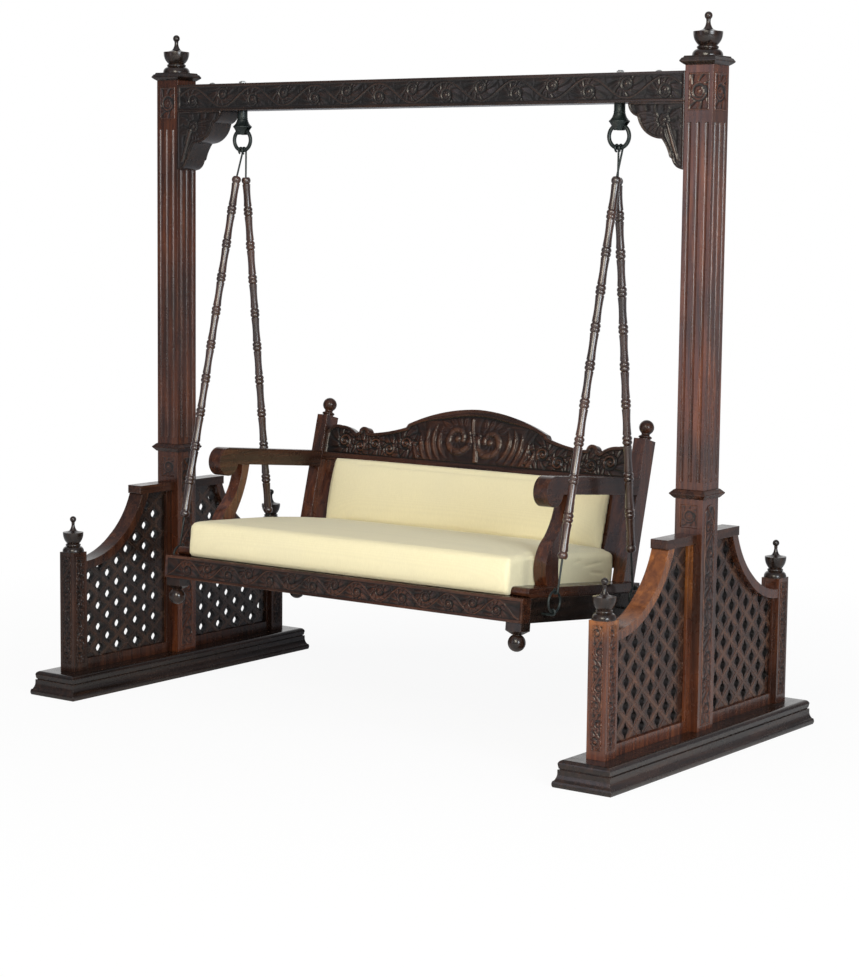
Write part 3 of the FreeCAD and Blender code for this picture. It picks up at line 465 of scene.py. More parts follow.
class Face:
    """A flat face of a node, or the floor of a recess in it, with its own axes and outline."""

    def __init__(self, name, toward, depth=0.0, zone=None, along=None):
        along = Vector(along or ((0, 1, 0) if toward[0] else (1, 0, 0)))
        toward = Vector(toward)
        mesh = nodes[name].data
        found = {}
        for polygon in mesh.polygons:
            if polygon.normal.dot(toward) > 0.9:
                level = round(polygon.center.dot(polygon.normal), 4)
                found.setdefault(level, []).append(polygon)
        self.node = name
        areas = {level: sum(part.area for part in parts) for level, parts in found.items()}
        main = max(level for level, area in areas.items() if area > 0.3 * max(areas.values()))
        chosen = []
        for level, parts in found.items():
            if abs(level - (main - depth)) < 0.0004:
                chosen += [p for p in parts if zone is None or zone[0] < p.center.z < zone[1]]
        self.normal = sum((p.normal * p.area for p in chosen), Vector()).normalized()
        self.u = (along - self.normal * self.normal.dot(along)).normalized()
        self.v = self.normal.cross(self.u)
        if self.v.z < -0.1 or (abs(self.v.z) <= 0.1 and self.v.y < 0):
            self.v = -self.v
        axes = np.array([self.u, self.v, self.normal])
        triangles = []
        for polygon in chosen:
            corners = np.array([mesh.vertices[i].co for i in polygon.vertices]) @ axes.T
            for index in range(1, len(corners) - 1):
                triangles.append(corners[[0, index, index + 1]])
        triangles = np.array(triangles)
        self.origin = self.normal * float(triangles[:, :, 2].mean())
        self.triangles = triangles[:, :, :2]
        self.low, self.high = self.triangles.min((0, 1)), self.triangles.max((0, 1))
        self.middle = (self.low + self.high) / 2
        self.rim = self.outline()

    def outline(self):
        """Edges that only one triangle has, as pairs of points."""
        counted = {}
        for triangle in self.triangles:
            for first, second in ((0, 1), (1, 2), (2, 0)):
                ends = tuple(np.round(triangle[first], 6)), tuple(np.round(triangle[second], 6))
                key = tuple(sorted(ends))
                counted[key] = counted.get(key, 0) + 1
        return np.array([key for key, count in counted.items() if count == 1])

    def spans(self, columns):
        """Lowest and highest point of the face in each column."""
        lows, highs = np.full(len(columns), 1e9), np.full(len(columns), -1e9)
        for triangle in self.triangles:
            for first, second in ((0, 1), (1, 2), (2, 0)):
                (ua, va), (ub, vb) = triangle[first], triangle[second]
                if ua > ub:
                    ua, va, ub, vb = ub, vb, ua, va
                inside = (columns >= ua - 1e-9) & (columns <= ub + 1e-9)
                if ub - ua < 1e-9:
                    lows[inside] = np.minimum(lows[inside], min(va, vb))
                    highs[inside] = np.maximum(highs[inside], max(va, vb))
                else:
                    v = va + (vb - va) * (columns[inside] - ua) / (ub - ua)
                    lows[inside] = np.minimum(lows[inside], v)
                    highs[inside] = np.maximum(highs[inside], v)
        return lows, highs

    def inset(self, u, v):
        """Distance of each point from the outline."""
        points = np.stack([u, v], 1)
        start, run = self.rim[:, 0], self.rim[:, 1] - self.rim[:, 0]
        length = (run ** 2).sum(1)
        nearest = np.full(len(points), 1e9)
        for place, way, size in zip(start, run, length):
            share = np.clip(((points - place) @ way) / max(size, 1e-12), 0, 1)
            gap = points - place - share[:, None] * way
            nearest = np.minimum(nearest, (gap ** 2).sum(1))
        return np.sqrt(nearest)

    def place(self, u, v, h):
        """World points at height h over the face."""
        base = np.array(self.origin)[None] + np.outer(u, self.u) + np.outer(v, self.v)
        return base + np.outer(h, self.normal)


def carve(name, face, body, height_of, margin=carve_margin, step=carve_step):
    """Closed relief over a whole face, raised by height_of(u, v, distance from the outline)."""
    u0, u1 = face.low[0] + margin, face.high[0] - margin
    columns = max(3, int(round((u1 - u0) / step)) + 1)
    us = np.linspace(u0, u1, columns)
    lows, highs = face.spans(us)
    middle = (lows + highs) / 2
    lows, highs = np.minimum(lows + margin, middle - 1e-5), np.maximum(highs - margin, middle + 1e-5)
    rows = max(3, int(round((highs.max() - lows.min()) / step)) + 1)
    shares = np.linspace(0, 1, rows)
    u = np.repeat(us, rows)
    v = (lows[:, None] + (highs - lows)[:, None] * shares[None]).reshape(-1)
    h = np.maximum(height_of(u, v, face.inset(u, v)), 0)
    top = face.place(u, v, carve_ground + h)
    grid = np.arange(columns * rows).reshape(columns, rows)
    faces = np.stack([grid[:-1, :-1], grid[1:, :-1], grid[1:, 1:], grid[:-1, 1:]], -1).reshape(-1, 4)
    loop = np.concatenate([grid[:, 0], grid[-1, 1:], grid[-2::-1, -1], grid[0, -2:0:-1]])
    base = face.place(u[loop], v[loop], np.full(len(loop), -carve_back))
    under = np.arange(len(loop)) + len(top)
    following = np.roll(np.arange(len(loop)), -1)
    walls = np.stack([loop, under, under[following], loop[following]], -1)
    all_faces = [tuple(f) for f in faces] + [tuple(f) for f in walls] + [tuple(under[::-1])]
    if face.u.cross(face.v).dot(face.normal) < 0:
        all_faces = [tuple(reversed(f)) for f in all_faces]
    points = np.vstack([top, base])
    piece = mesh_piece(name, points, all_faces, body, wood_of(face.node, True))
    # The lift, the relief's share of its full height, lets the carved timber paint the low ground near
    # black as shade
    lift = piece.data.attributes.new("lift", "FLOAT", "POINT")
    lift.data.foreach_set("value", np.concatenate([h / h.max(), np.full(len(loop), 1.0)]))


# Heights of carved forms, in metres over the ground

def bump(distance, radius, height):
    """Half-round ridge or dome by distance from its middle."""
    return height * np.sqrt(np.clip(1 - (distance / radius) ** 2, 0, 1))


def soft(value, low, high):
    share = np.clip((value - low) / (high - low), 0, 1)
    return share * share * (3 - 2 * share)


def rosette(du, dv, radius, height, petals=5, turn=0.0):
    """Flower with round petals and a domed boss."""
    reach = np.hypot(du, dv)
    angle = np.arctan2(dv, du) + turn
    rim = radius * (0.80 + 0.20 * np.abs(np.cos(angle * petals / 2)) ** 0.6)
    share = reach / rim
    petal = height * 0.62 * (1 - soft(share, 0.80, 1.0)) * (0.55 + 0.45 * soft(share, 0.25, 0.75))
    vein = 1 - 0.45 * np.exp(-(np.sin(angle * petals / 2) / 0.28) ** 2) * soft(share, 0.2, 0.5)
    boss = bump(reach, radius * 0.36, height * 1.15)
    return np.maximum(petal * vein, boss)


def leaf(u, v, cu, cv, heading, length, width, height, curl, lobes):
    """Curved leaf from its root: lobed edge, sunk midrib and a rounded back."""
    c, s = math.cos(heading), math.sin(heading)
    along = ((u - cu) * c + (v - cv) * s) / length
    across = (v - cv) * c - (u - cu) * s - curl * length * along ** 2
    inside = (along > 0) & (along < 1)
    share = np.clip(along, 0.0001, 0.9999)
    half = width / 2 * np.sin(math.pi * share ** 0.75) * (1 - 0.16 * np.cos(2 * math.pi * lobes * share))
    ratio = np.abs(across) / np.maximum(half, 1e-6)
    body = height * np.sqrt(np.clip(1 - ratio ** 2, 0, 1)) * (0.75 + 0.25 * share)
    rib = 1 - 0.5 * np.exp(-(ratio / 0.16) ** 2)
    return np.where(inside & (ratio < 1), body * rib, 0)


def spiral(du, dv, outer, inner, start, turns, wide, height, way=1):
    """Half-round ridge that winds in from the outer to the inner radius."""
    reach = np.hypot(du, dv)
    angle = np.mod(way * np.arctan2(dv, du) - start, 2 * math.pi)
    h = np.zeros(len(du))
    for lap in range(int(math.ceil(turns))):
        share = (angle + 2 * math.pi * lap) / (2 * math.pi * turns)
        radius = outer + (inner - outer) * share
        taper = np.clip(1.25 - 0.6 * share, 0, 1)
        ridge = bump(np.abs(reach - radius), wide / 2 * taper, height * (0.8 + 0.2 * taper))
        h = np.maximum(h, np.where(share <= 1, ridge, 0))
    return h


def lobes(du, dv, side, inner, height, count, twist):
    """Leafage round a flower: curved ribs that fan out from the inner radius and sink outward."""
    reach = np.hypot(du, dv)
    angle = side * np.arctan2(dv, du)
    out = np.clip((reach - inner) / inner, 0, 3)
    wave = np.abs(np.cos(count / 2 * angle + twist * np.sqrt(out))) ** 0.8
    vein = 1 - 0.35 * np.exp(-((1 - wave) / 0.10) ** 2)
    return height * wave * vein * soft(reach, inner, inner * 1.15) * (1 - 0.55 * soft(out, 0.2, 1.6))


def band(inset, width, height):
    """Plain raised border along the outline, with a thin groove in it."""
    rim = height * (1 - soft(inset, width * 0.78, width))
    return rim * (1 - 0.35 * np.exp(-((inset - width * 0.55) / (width * 0.09)) ** 2))


def rippled(du, dv, index):
    """Distance with a leafy ripple round it, so that neighbouring cells meet in lobes."""
    return np.hypot(du, dv) * (1 + 0.09 * np.cos(6 * np.arctan2(dv, du) + index * 1.3))


def scrollwork(u, v, inset, centres, size, border, height, stem=None):
    """Dense relief: each flower sits in a curl with leafage round it, inside a plain border."""
    gaps = np.stack([rippled(u - cu, v - cv, index) for index, (cu, cv) in enumerate(centres)])
    near, sorted_gaps = gaps.argmin(0), np.sort(gaps, axis=0)
    h = np.zeros(len(u))
    for index, (cu, cv) in enumerate(centres):
        here = near == index
        du, dv = u[here] - cu, v[here] - cv
        side = 1 if index % 2 == 0 else -1
        part = lobes(du, dv, side, size * 0.98, height * 0.90, 9, 2.1)
        part = np.maximum(part, spiral(du, dv, size, size * 0.72, 0.7, 0.85, size * 0.26,
                                       height * 0.80, side))
        part = np.where(np.hypot(du, dv) < size * 0.62, 0, part)
        h[here] = np.maximum(part, rosette(du, dv, size * 0.64, height, 5, index * 0.7))
    if len(centres) > 1:
        h *= 0.35 + 0.65 * soft(sorted_gaps[1] - sorted_gaps[0], 0, size * 0.22)
    if stem is not None:
        distance, wide = stem(u, v)
        groove = 1 - 0.75 * np.exp(-((distance - wide * 0.62) / (wide * 0.14)) ** 2)
        h = np.maximum(h * groove, bump(distance, wide / 2, height * 0.9))
    inner = soft(inset, border, border * 1.25)
    return np.maximum(h * inner, band(inset, border, height * 0.85))


def wavy(centre_u, middle, pitch, swing, wide):
    """Distance from a wavy stem that passes under and over the flowers in turn, and its width."""
    def distance(u, v):
        phase = math.pi * (u - centre_u) / pitch
        slope = swing * math.pi / pitch * np.sin(phase)
        return np.abs(v - middle + swing * np.cos(phase)) / np.sqrt(1 + slope ** 2), wide
    return distance


def running(face, pitch, swing, size, border, height, centre=0.0, swap=False):
    """Height rule of a running scroll along u, or along v when swapped."""
    low, high = (face.low[::-1], face.high[::-1]) if swap else (face.low, face.high)
    middle = (low[1] + high[1]) / 2
    first = math.ceil((low[0] + border * 1.6 - centre) / pitch)
    last = math.floor((high[0] - border * 1.6 - centre) / pitch)
    centres = [(centre + k * pitch, middle + (swing if k % 2 == 0 else -swing))
               for k in range(first, last + 1)]
    stem = wavy(centre, middle, pitch, (high[1] - low[1]) / 2 - border - size * 0.12, size * 0.30)

    def heights(u, v, inset):
        if swap:
            u, v = v, u
        return scrollwork(u, v, inset, centres, size, border, height, stem)
    return heights


# Carved faces

def beam_carving():
    for side, label in ((-1, "front"), (1, "back")):
        face = Face("beam", (0, side, 0))
        carve("beam_carving_" + label, face, "stand", running(face, *beam_scroll))


def front_rail_carving():
    face = Face("front_rail", (0, -1, 0))
    carve("front_rail_carving", face, "seat", running(face, *rail_scroll))


def newel_carving():
    for x_name in ("right", "left"):
        for y_name, y_side in (("front", -1), ("rear", 1)):
            name = f"newel_{x_name}_{y_name}"
            for toward, label in (((-1, 0, 0), "inner"), ((1, 0, 0), "outer"), ((0, y_side, 0), "end")):
                face = Face(name, toward, sunk_depth)
                rule = running(face, *newel_scroll, face.middle[1], True)
                carve(f"{name}_vine_{label}", face, "stand", rule, sunk_margin, newel_step)


def post_carving():
    for name, own in (("post_right", 1), ("post_left", -1)):
        for toward, label in (((0, -1, 0), "front"), ((0, 1, 0), "back"), ((own, 0, 0), "outer")):
            face = Face(name, toward, sunk_depth, flower_zone)
            carve(f"{name}_flower_{label}", face, "stand", medallion(face, *flower_form), sunk_margin)
        for toward, label in (((0, -1, 0), "front"), ((0, 1, 0), "back")):
            face = Face(name, toward, sunk_depth, medallion_zone)
            rule = medallion(face, *medallion_form)
            carve(f"{name}_medallion_{label}", face, "stand", rule, sunk_margin)
        for toward, label in (((-1, 0, 0), "inner"), ((1, 0, 0), "outer")):
            face = Face(name, toward, sunk_depth, leafage_zone)
            rule = running(face, *post_scroll, face.low[1] + leafage_first, True)
            carve(f"{name}_leafage_{label}", face, "stand", rule, sunk_margin)


def medallion(face, size, height):
    """One large flower in leafage."""
    centre = [(face.middle[0], face.middle[1])]
    return lambda u, v, inset: scrollwork(u, v, inset, centre, size, medallion_border, height)


def bracket_carving():
    for name, side in (("bracket_right", 1), ("bracket_left", -1)):
        for way, label in ((-1, "front"), (1, "back")):
            face = Face(name, (0, way, 0))
            corner = face.high[0] if side > 0 else face.low[0]
            carve(f"{name}_carving_{label}", face, "stand", bracket_rule(face, corner, side))


def bracket_rule(face, corner, side):
    """Leafage with a flower near the corner and one long curved rib beside the post."""
    flower_x, flower_z = bracket_flower

    def heights(u, v, inset):
        x, z = (corner - u) * side, face.high[1] - v
        h = np.zeros(len(u))
        out = np.hypot(x - flower_x, z - flower_z)
        for turn, length, wide in bracket_leaves:
            root = (flower_x + bracket_leaf_root * math.cos(turn),
                    flower_z + bracket_leaf_root * math.sin(turn))
            h = np.maximum(h, leaf(x, z, *root, turn, length, wide, carve_height * 0.85, 0.25, 4))
        fan = np.abs(np.cos(4.5 * np.arctan2(z - flower_z, x - flower_x) + out * 60)) ** 0.6
        h = np.maximum(h, 0.55 * carve_height * fan * soft(out, 0.02, 0.05))
        h = np.where(out < 0.021, 0, h)
        h = np.maximum(h, rosette(x - flower_x, z - flower_z, bracket_flower_radius, carve_height, 6))
        bend = 0.040 - 0.016 * ((z - 0.105) / 0.045)
        rib = np.abs(x - bend) / 1.06
        along = (z > 0.060) & (z < 0.165)
        h = np.where(along & (rib < 0.0085), bump(rib, 0.0060, carve_height * 1.25), h)
        beading = 0.6 * carve_height * np.abs(np.sin((z + x * 0.8) * 260)) ** 0.6
        h = np.maximum(h, np.where((x < 0.020) & (z > 0.02), beading, 0))
        return np.maximum(h * soft(inset, 0.006, 0.009), band(inset, bracket_border, carve_height * 0.9))
    return heights


def crest_carving():
    face = Face("crest_rail", (0, -1, 0.2))
    carve("crest_carving", face, "seat", crest_rule(face))
    back = Face("crest_rail", (0, 1, -0.2))
    carve("crest_border", back, "seat", crest_back_rule, carve_margin, crest_back_step)


def crest_back_rule(u, v, inset):
    """Plain sunk field in a flat border."""
    return np.maximum(band(inset, *crest_back_band), crest_back_ground)


def frond(du, dv, radius, first, last, wide, height):
    """Crescent rib round a centre, thickest at its middle, with a fine groove along it."""
    reach, angle = np.hypot(du, dv), np.degrees(np.arctan2(dv, du))
    share = np.clip((angle - first) / (last - first), 0, 1)
    half = wide / 2 * np.sqrt(np.sin(math.pi * share)) + 1e-5
    away = np.abs(reach - radius * (1 + 0.06 * share))
    ridge = bump(away, half, height * (0.65 + 0.35 * np.sin(math.pi * share)))
    groove = 1 - 0.30 * np.exp(-((away / half - 0.45) / 0.12) ** 2)
    return np.where((share > 0) & (share < 1), ridge * groove, 0)


def swirl(du, dv, height):
    """Leafy scroll that winds in to a round eye."""
    outer = spiral(du, dv, 0.052, 0.020, 2.6, 1.15, 0.026, height)
    reach, angle = np.hypot(du, dv), np.arctan2(dv, du)
    frill = 1 - 0.20 * np.exp(-(np.sin(4.5 * angle + 60 * reach) / 0.30) ** 2)
    return np.maximum(outer * frill, bump(reach, 0.0115, height * 1.05))


def crest_stem(u, z, height):
    """Stem between the swirls that leans over as it rises, and where it stands."""
    trunk = np.abs(u - (0.016 - 0.030 * soft(z, 0.03, 0.17))) / (0.0060 + 0.0050 * (z < 0.070))
    upright = height * 1.1 * np.sqrt(np.clip(1 - trunk ** 2, 0, 1))
    return upright, (z > 0.030) & (z < 0.172) & (trunk < 1.3)


def crest_ground(x, z):
    """Low ribs between the forms in the middle of the crest, as a share of its height."""
    across, over = x - crest_middle[0], z - crest_middle[1]
    turn, reach = np.arctan2(over, across), np.hypot(across, over)
    return (0.30 + 0.14 * np.abs(np.cos(5 * turn + 90 * reach))) * (1 - soft(x, 0.185, 0.215))


def crest_rule(face):
    """Two swirls round a stem, with fronds and leafage that run out to a volute at each end."""
    base = face.low[1]
    tall = crest_tall

    def heights(u, v, inset):
        x, z = np.abs(u), v - base
        h = side_scrolls(x, z, tall) * soft(x, 0.165, 0.20)
        for radius, first, last, wide in crest_fronds:
            rib = frond(x - crest_middle[0], z - crest_middle[1], radius, first, last, wide, tall)
            h = np.where(rib > 0.15 * tall, rib, h)
        for centre, way, level in crest_swirls:
            du, dv = way * (u - centre), z - level
            h = np.where(np.hypot(du, dv) < crest_swirl_reach, swirl(du, dv, tall), h)
            for heading in crest_leaf_headings:
                root = (crest_leaf_root * math.cos(heading), crest_leaf_root * math.sin(heading))
                h = np.maximum(h, leaf(du, dv, *root, heading - 0.9, *crest_leaf, tall * 0.8, 0.35, 0))
        upright, here = crest_stem(u, z, tall)
        h = np.where(here, upright, h)
        border = crest_border + crest_border_more * (1 - soft(x, 0.10, 0.24))
        h = np.maximum(h, tall * crest_ground(x, z))
        h = h * soft(inset, border * 0.96, border * 1.2) * soft(z, crest_foot, 0.030)
        h = np.maximum(h, band(inset, border, tall * 0.75))
        return np.maximum(h, tall * 0.62 * (1 - soft(z, 0.0235, crest_foot)))
    return heights


def side_scrolls(x, z, tall):
    """Row of leafy curls that fill the crest to both sides of its swirls."""
    gaps = np.stack([rippled(x - cx, z - cz, index) / size
                     for index, (cx, cz, size) in enumerate(crest_scrolls)])
    near, ordered = gaps.argmin(0), np.sort(gaps, axis=0)
    h = np.zeros(len(x))
    for index, (cx, cz, size) in enumerate(crest_scrolls):
        here = near == index
        du, dv = x[here] - cx, z[here] - cz
        way = 1 if index % 2 == 0 else -1
        part = lobes(du, dv, way, size * 0.85, tall * 0.75, 9, 2.2)
        curl = spiral(du, dv * way, size * 0.80, size * 0.22, 2.2, 1.3, size * 0.34, tall * 0.9)
        eye = bump(np.hypot(du, dv), size * 0.24, tall)
        h[here] = np.maximum(np.maximum(part, curl), eye)
    return h * (0.30 + 0.70 * soft(ordered[1] - ordered[0], 0, 0.22))


# Pierced panels

loop_angles = np.arange(lattice_points) * 2 * math.pi / lattice_points
loop_cos, loop_sin = np.cos(loop_angles), np.sin(loop_angles)


def lozenge_loop(moved_in):
    """Points of a cell's lozenge, moved in by a distance from its sides, at even angles."""
    half_y, half_z = lattice_half_y, lattice_half_z
    inset = moved_in * math.hypot(half_y, half_z) / (half_y * half_z)
    reach = (1 - inset) / (np.abs(loop_cos) / half_y + np.abs(loop_sin) / half_z)
    return np.stack([loop_cos * reach, loop_sin * reach], 1)


def quatrefoil_loop(sideways, upright, body):
    """Hole with two round lobes at its sides and a pointed one above and below."""
    lobes_out = sideways * np.exp(-((np.abs(loop_sin) / 0.66) ** 4))
    lobes_up = upright * np.exp(-((np.abs(loop_cos) / 0.42) ** 2))
    reach = np.maximum(np.maximum(lobes_out, lobes_up), body)
    return np.stack([loop_cos * reach, loop_sin * reach], 1)


def lattice_panel(name):
    """Pierced panel of one wing: crossed strips with a four-lobed hole in each cell."""
    node = nodes[name]
    low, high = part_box(name)
    centre_x, half_thick = (low[0] + high[0]) / 2, (high[0] - low[0]) / 2
    side = 1 if (low[1] + high[1]) > 0 else -1
    face = Face(name, (1, 0, 0), along=(0, side, 0))
    corners = np.array([v.co for v in node.data.vertices])
    corner_y, corner_z = np.abs(corners[:, 1]), corners[:, 2]
    through = quatrefoil_loop(*(hole_right if centre_x > 0 else hole_left))
    rings = [(lozenge_loop(0.0), lattice_raised), (lozenge_loop(lattice_strip), lattice_raised),
             (lozenge_loop(lattice_strip + lattice_slope), 0.0),
             (quatrefoil_loop(*hole_rim), 0.0),
             (through, -lattice_bevel), (through, -half_thick)]
    points, faces = [], []
    for column in lattice_columns:
        y = lattice_first_y + column * lattice_half_y
        for row in lattice_rows:
            z = lattice_first_z + 2 * lattice_half_z * (row + (column % 2) / 2)
            if z < low[2] - lattice_half_z or z > high[2] + lattice_half_z:
                continue
            near = np.hypot(corner_y - y, corner_z - z) < hole_found
            pierced = np.count_nonzero(near) >= hole_corners
            add_cell(points, faces, rings, y, z, half_thick, pierced)
    points = np.array(points)
    points[:, 0], points[:, 1] = into_face(face, points[:, 0], points[:, 1])
    world = np.stack([centre_x + points[:, 2], side * points[:, 0], points[:, 1]], 1)
    piece = mesh_piece(name + "_cut", world, faces, "stand", wood_of(name, True), False)
    close_mesh(piece, centre_x)
    raised = np.abs(coordinates(piece.data)[:, 0] - centre_x) - half_thick
    lift = piece.data.attributes.new("lift", "FLOAT", "POINT")
    level = 0.62 + 0.3 * np.clip(raised, 0, 0.001) / 0.001
    # Walls of the holes get lift 0, which the carved timber paints near black as shade
    lift.data.foreach_set("value", np.where(raised < -0.0002, 0.0, level))
    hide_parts(name)


def add_cell(points, faces, rings, y, z, half_thick, pierced):
    """One cell, front and back: loops from the lozenge in to the hole, or to a plain sunk middle."""
    count = lattice_points
    for way in (1, -1):
        start = len(points)
        chosen = rings if pierced else rings[:3]
        for loop, drop in chosen:
            depth = way * (half_thick + drop)
            points.extend((y + a, z + b, depth) for a, b in loop)
        for ring in range(len(chosen) - 1):
            for k in range(count):
                a, b = start + ring * count + k, start + ring * count + (k + 1) % count
                faces.append((a, b, b + count, a + count)[::way])
        if not pierced:
            points.append((y, z, way * half_thick))
            for k in range(count):
                a, b = start + 2 * count + k, start + 2 * count + (k + 1) % count
                faces.append((a, b, len(points) - 1)[::way])


def into_face(face, u, v):
    """Points brought in to the face's outer outline."""
    columns = np.linspace(face.low[0] + 1e-4, face.high[0] - 1e-4, 800)
    lows, highs = face.spans(columns)
    u = np.clip(u, columns[0], columns[-1])
    return u, np.clip(v, np.interp(u, columns, lows), np.interp(u, columns, highs))


def close_mesh(piece, middle_x):
    """Merge doubled points, drop empty faces, wall the outer edge and turn the faces outward."""
    work = bmesh.new()
    work.from_mesh(piece.data)
    bmesh.ops.remove_doubles(work, verts=work.verts, dist=0.00005)
    empty = [part for part in work.faces if part.calc_area() < 1e-9]
    bmesh.ops.delete(work, geom=empty, context="FACES")
    at = {tuple(round(c, 4) for c in vert.co): vert for vert in work.verts}
    for edge in [part for part in work.edges if part.is_boundary]:
        a, b = edge.verts
        if a.co.x < middle_x or b.co.x < middle_x:
            continue
        across = [at.get((round(2 * middle_x - p.co.x, 4), round(p.co.y, 4), round(p.co.z, 4)))
                  for p in (a, b)]
        corners = (a, b, across[1], across[0])
        if all(across) and len(set(corners)) == 4 and not work.faces.get(corners):
            work.faces.new(corners)
    loose = [vert for vert in work.verts if not vert.link_faces]
    bmesh.ops.delete(work, geom=loose, context="VERTS")
    bmesh.ops.recalc_face_normals(work, faces=work.faces)
    work.to_mesh(piece.data)
    work.free()


beam_carving()
front_rail_carving()
newel_carving()
post_carving()
bracket_carving()
crest_carving()
for lattice in ("right_front", "right_rear", "left_front", "left_rear"):
    lattice_panel("lattice_" + lattice)


# Cushions

seat_up = Vector((0, -math.sin(seat_lean), math.cos(seat_lean)))
seat_along = Vector((0, math.cos(seat_lean), math.sin(seat_lean)))
back_away = Vector((0, math.cos(back_lean), math.sin(back_lean)))


def evaluated_mesh(piece):
    """The piece's mesh with its modifiers applied."""
    graph = bpy.context.evaluated_depsgraph_get()
    return bpy.data.meshes.new_from_object(piece.evaluated_get(graph))


def vertex_normals(mesh):
    found = np.empty(len(mesh.vertices) * 3)
    mesh.vertex_normals.foreach_get("vector", found)
    return found.reshape(-1, 3)


def set_coordinates(mesh, points):
    mesh.vertices.foreach_set("co", points.reshape(-1))
    mesh.update()


def baked(piece, kind, **settings):
    """Add one modifier and apply it."""
    modifier = piece.modifiers.new(kind.lower(), kind)
    for name, value in settings.items():
        setattr(modifier, name, value)
    mesh = evaluated_mesh(piece)
    piece.modifiers.clear()
    piece.data = mesh


def inflate(piece):
    """Cloth under pressure, with the distance that a point may move capped."""
    start, outward = coordinates(piece.data), vertex_normals(piece.data)
    modifier = piece.modifiers.new("cloth", "CLOTH")
    for name, value in cloth_settings.items():
        setattr(modifier.settings, name, value)
    modifier.settings.effector_weights.gravity = 0.0
    modifier.point_cache.frame_start = 1
    modifier.point_cache.frame_end = cloth_steps
    for step in range(1, cloth_steps + 1):
        scene.frame_set(step)
    moved = coordinates(evaluated_mesh(piece)) - start
    piece.modifiers.clear()
    scene.frame_set(1)
    swell = (moved * outward).sum(1)
    slip = moved - outward * swell[:, None]
    length = np.linalg.norm(slip, axis=1)[:, None]
    slip *= np.minimum(1, cushion_slip / np.maximum(length, 1e-9))
    swell = np.clip(swell, cushion_least, cushion_cap)
    set_coordinates(piece.data, start + slip + outward * swell[:, None])


def crease(points, normals):
    """Small folds where the cover is gathered at the rear of the right end."""
    d = points[:, 1] * seat_along[1] + points[:, 2] * seat_along[2]
    h = points @ np.array(seat_up)
    d, h = d - d.max(), h - h.min()
    depth = np.zeros(len(points))
    for start, length, level, rise in cushion_folds:
        along = (d - start) / length
        line = np.exp(-((h - level - rise * (d - start)) / fold_width) ** 2)
        depth += fold_depth * line * np.clip(1 - (2 * along - 1) ** 2, 0, 1) * (along > 0) * (along < 1)
    return depth * soft(normals[:, 0], 0.5, 0.8)


def cushion(name, node, rests_toward, crown_axis):
    """Sewn cushion over its solid: remeshed, blown up as cloth, with a seam round each face."""
    source = coordinates(nodes[node].data)
    rest = np.array(rests_toward)
    limit = (source @ rest).max()
    piece = bpy.data.objects.new(name, nodes[node].data.copy())
    scene.collection.objects.link(piece)
    baked(piece, "REMESH", mode="VOXEL", voxel_size=cushion_voxel)
    baked(piece, "SMOOTH", iterations=1, factor=0.2)
    start = coordinates(piece.data) - vertex_normals(piece.data) * cushion_shrink
    depth = start @ np.array(seat_along)
    held = soft(depth - depth.min(), *cushion_held) if node == "seat_cushion" else 0
    start[:, 0] *= 1 + cushion_widen * (1 - held)
    set_coordinates(piece.data, start)
    inflate(piece)
    baked(piece, "SUBSURF", levels=1)
    points, normals = coordinates(piece.data), vertex_normals(piece.data)
    tilt = np.abs(normals @ np.array(crown_axis))
    seam = np.exp(-((tilt - seam_tilt) / seam_spread) ** 2)
    fold = crease(points, normals) if node == "seat_cushion" else 0
    points = points - normals * (seam_depth * seam + fold)[:, None]
    over = np.maximum(points @ rest - limit, 0)
    points = points - np.outer(over, rest)
    set_coordinates(piece.data, points)
    dress(piece, cloth_material)
    piece.data.polygons.foreach_set("use_smooth", [True] * len(piece.data.polygons))
    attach(piece, "seat")
    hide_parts(node)


cushion("seat_cushion_cover", "seat_cushion", -seat_up, seat_up)
cushion("back_cushion_cover", "back_cushion", back_away, back_away)


# Stage, light and camera

def facing(tree, direction, way):
    """Cosine of the angle between the sky direction and a fixed one."""
    made = add(tree, "VectorMath", {"operation": "DOT_PRODUCT"})
    plug(tree, direction, made.inputs[0])
    made.inputs[1].default_value = way
    return made.outputs["Value"]


def world_light():
    """Dim studio round the object, with a white backdrop behind it."""
    world = bpy.data.worlds.new("studio")
    world.use_nodes = True
    scene.world = world
    tree = world.node_tree
    tree.nodes.clear()
    direction = tree.nodes.new("ShaderNodeTexCoord").outputs["Generated"]
    front = spread(tree, facing(tree, direction, front_way), -0.2, 0.9, 0.06, 0.34)
    above = spread(tree, facing(tree, direction, (0.0, 0.0, 1.0)), 0.2, 0.9, 0.0, 0.35)
    level = maths(tree, "ADD", front, above)
    studio = add(tree, "Background", None, Color=studio_colour)
    plug(tree, level, studio.inputs["Strength"])
    white = add(tree, "Background", None, Color=(1, 1, 1, 1), Strength=1.0)
    path = tree.nodes.new("ShaderNodeLightPath")
    seen = maths(tree, "MAXIMUM", path.outputs["Is Camera Ray"], path.outputs["Is Transmission Ray"])
    behind = spread(tree, facing(tree, direction, backdrop_way), 0.45, 0.78)
    mirrored = maths(tree, "MULTIPLY", path.outputs["Is Glossy Ray"], behind)
    share = maths(tree, "MAXIMUM", seen, mirrored)
    out = tree.nodes.new("ShaderNodeOutputWorld")
    plug(tree, mixed_shader(tree, share, studio.outputs[0], white.outputs[0]), out.inputs[0])


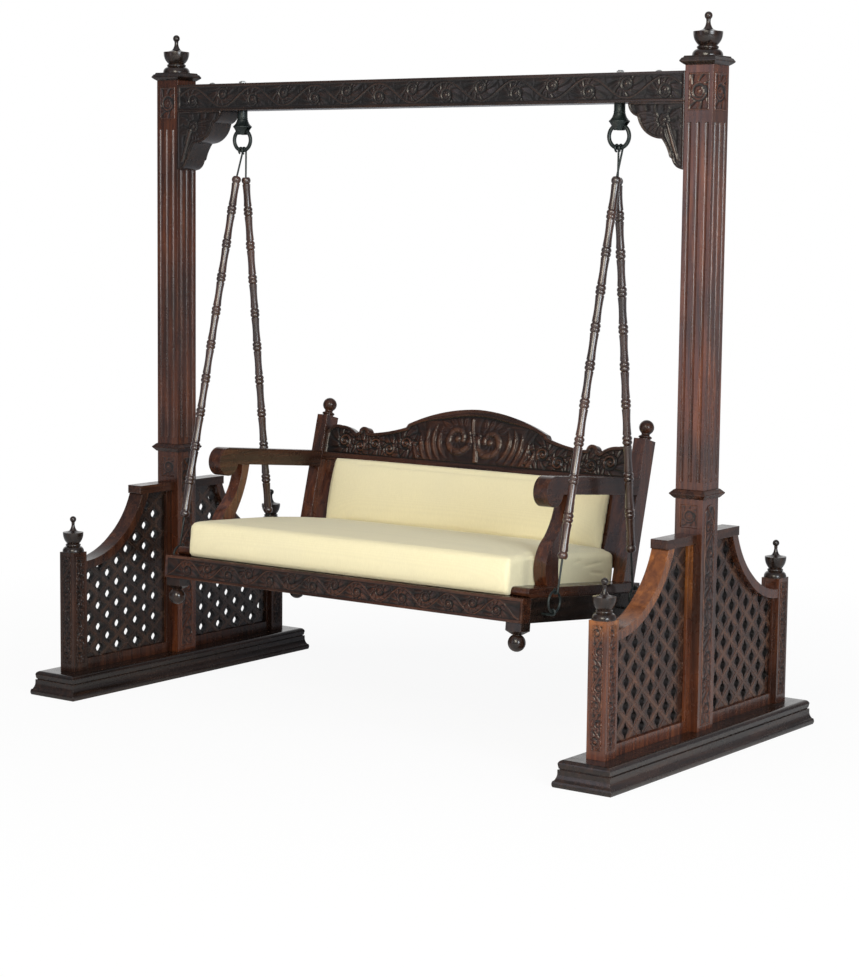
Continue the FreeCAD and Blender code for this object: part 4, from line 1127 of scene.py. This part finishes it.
def floor():
    """Pale floor: near white to the camera, and still taking the object's shadow."""
    material, tree, shader = new_material("pale_floor")
    connect(tree, shader, Base_Color=floor_colour, Roughness=0.8, Specular_IOR_Level=0.1)
    glow = add(tree, "Emission", None, Color=(1, 1, 1, 1), Strength=1.0)
    path = tree.nodes.new("ShaderNodeLightPath")
    seen = maths(tree, "MAXIMUM", path.outputs["Is Camera Ray"], path.outputs["Is Transmission Ray"])
    away = add(tree, "VectorMath", {"operation": "LENGTH"})
    plug(tree, object_place(tree), away.inputs[0])
    share = maths(tree, "MULTIPLY", seen, spread(tree, away.outputs["Value"], 1.0, 3.2, 0.92, 1.0))
    mixed = mixed_shader(tree, share, shader.outputs[0], glow.outputs[0])
    plug(tree, mixed, tree.nodes["Material Output"].inputs[0])
    mesh = bpy.data.meshes.new("floor")
    signs = ((-1, -1), (1, -1), (1, 1), (-1, 1))
    mesh.from_pydata([(x * floor_reach, y * floor_reach, 0) for x, y in signs], [], [(0, 1, 2, 3)])
    mesh.materials.append(material)
    piece = bpy.data.objects.new("floor", mesh)
    scene.collection.objects.link(piece)


def softbox(name, place, target, size, power, colour):
    """Rectangular lamp aimed at a point and unseen by the camera."""
    light = bpy.data.lights.new(name, "AREA")
    light.shape = "RECTANGLE"
    light.size, light.size_y = size
    light.energy = power
    light.color = colour
    lamp = bpy.data.objects.new(name, light)
    lamp.location = place
    lamp.rotation_euler = (Vector(target) - Vector(place)).to_track_quat("-Z", "Y").to_euler()
    lamp.visible_camera = False
    scene.collection.objects.link(lamp)


def camera():
    right = Vector((math.cos(camera_yaw), math.sin(camera_yaw), 0))
    ahead = Vector((-math.sin(camera_yaw) * math.cos(camera_pitch),
                    math.cos(camera_yaw) * math.cos(camera_pitch), math.sin(camera_pitch)))
    above = right.cross(ahead)
    rolled_right = right * math.cos(camera_roll) + above * math.sin(camera_roll)
    rolled_up = -right * math.sin(camera_roll) + above * math.cos(camera_roll)
    data = bpy.data.cameras.new("camera")
    data.sensor_width = sensor_width
    data.sensor_fit = "AUTO"
    data.lens = camera_focal_pixels / photo_long_side * sensor_width
    eye = bpy.data.objects.new("camera", data)
    eye.matrix_world = Matrix((rolled_right, rolled_up, -ahead)).transposed().to_4x4()
    eye.location = camera_place
    scene.collection.objects.link(eye)
    scene.camera = eye


world_light()
floor()
for name, settings in softboxes.items():
    softbox(name, *settings)
camera()
bpy.context.scene.view_settings.view_transform = "Standard"
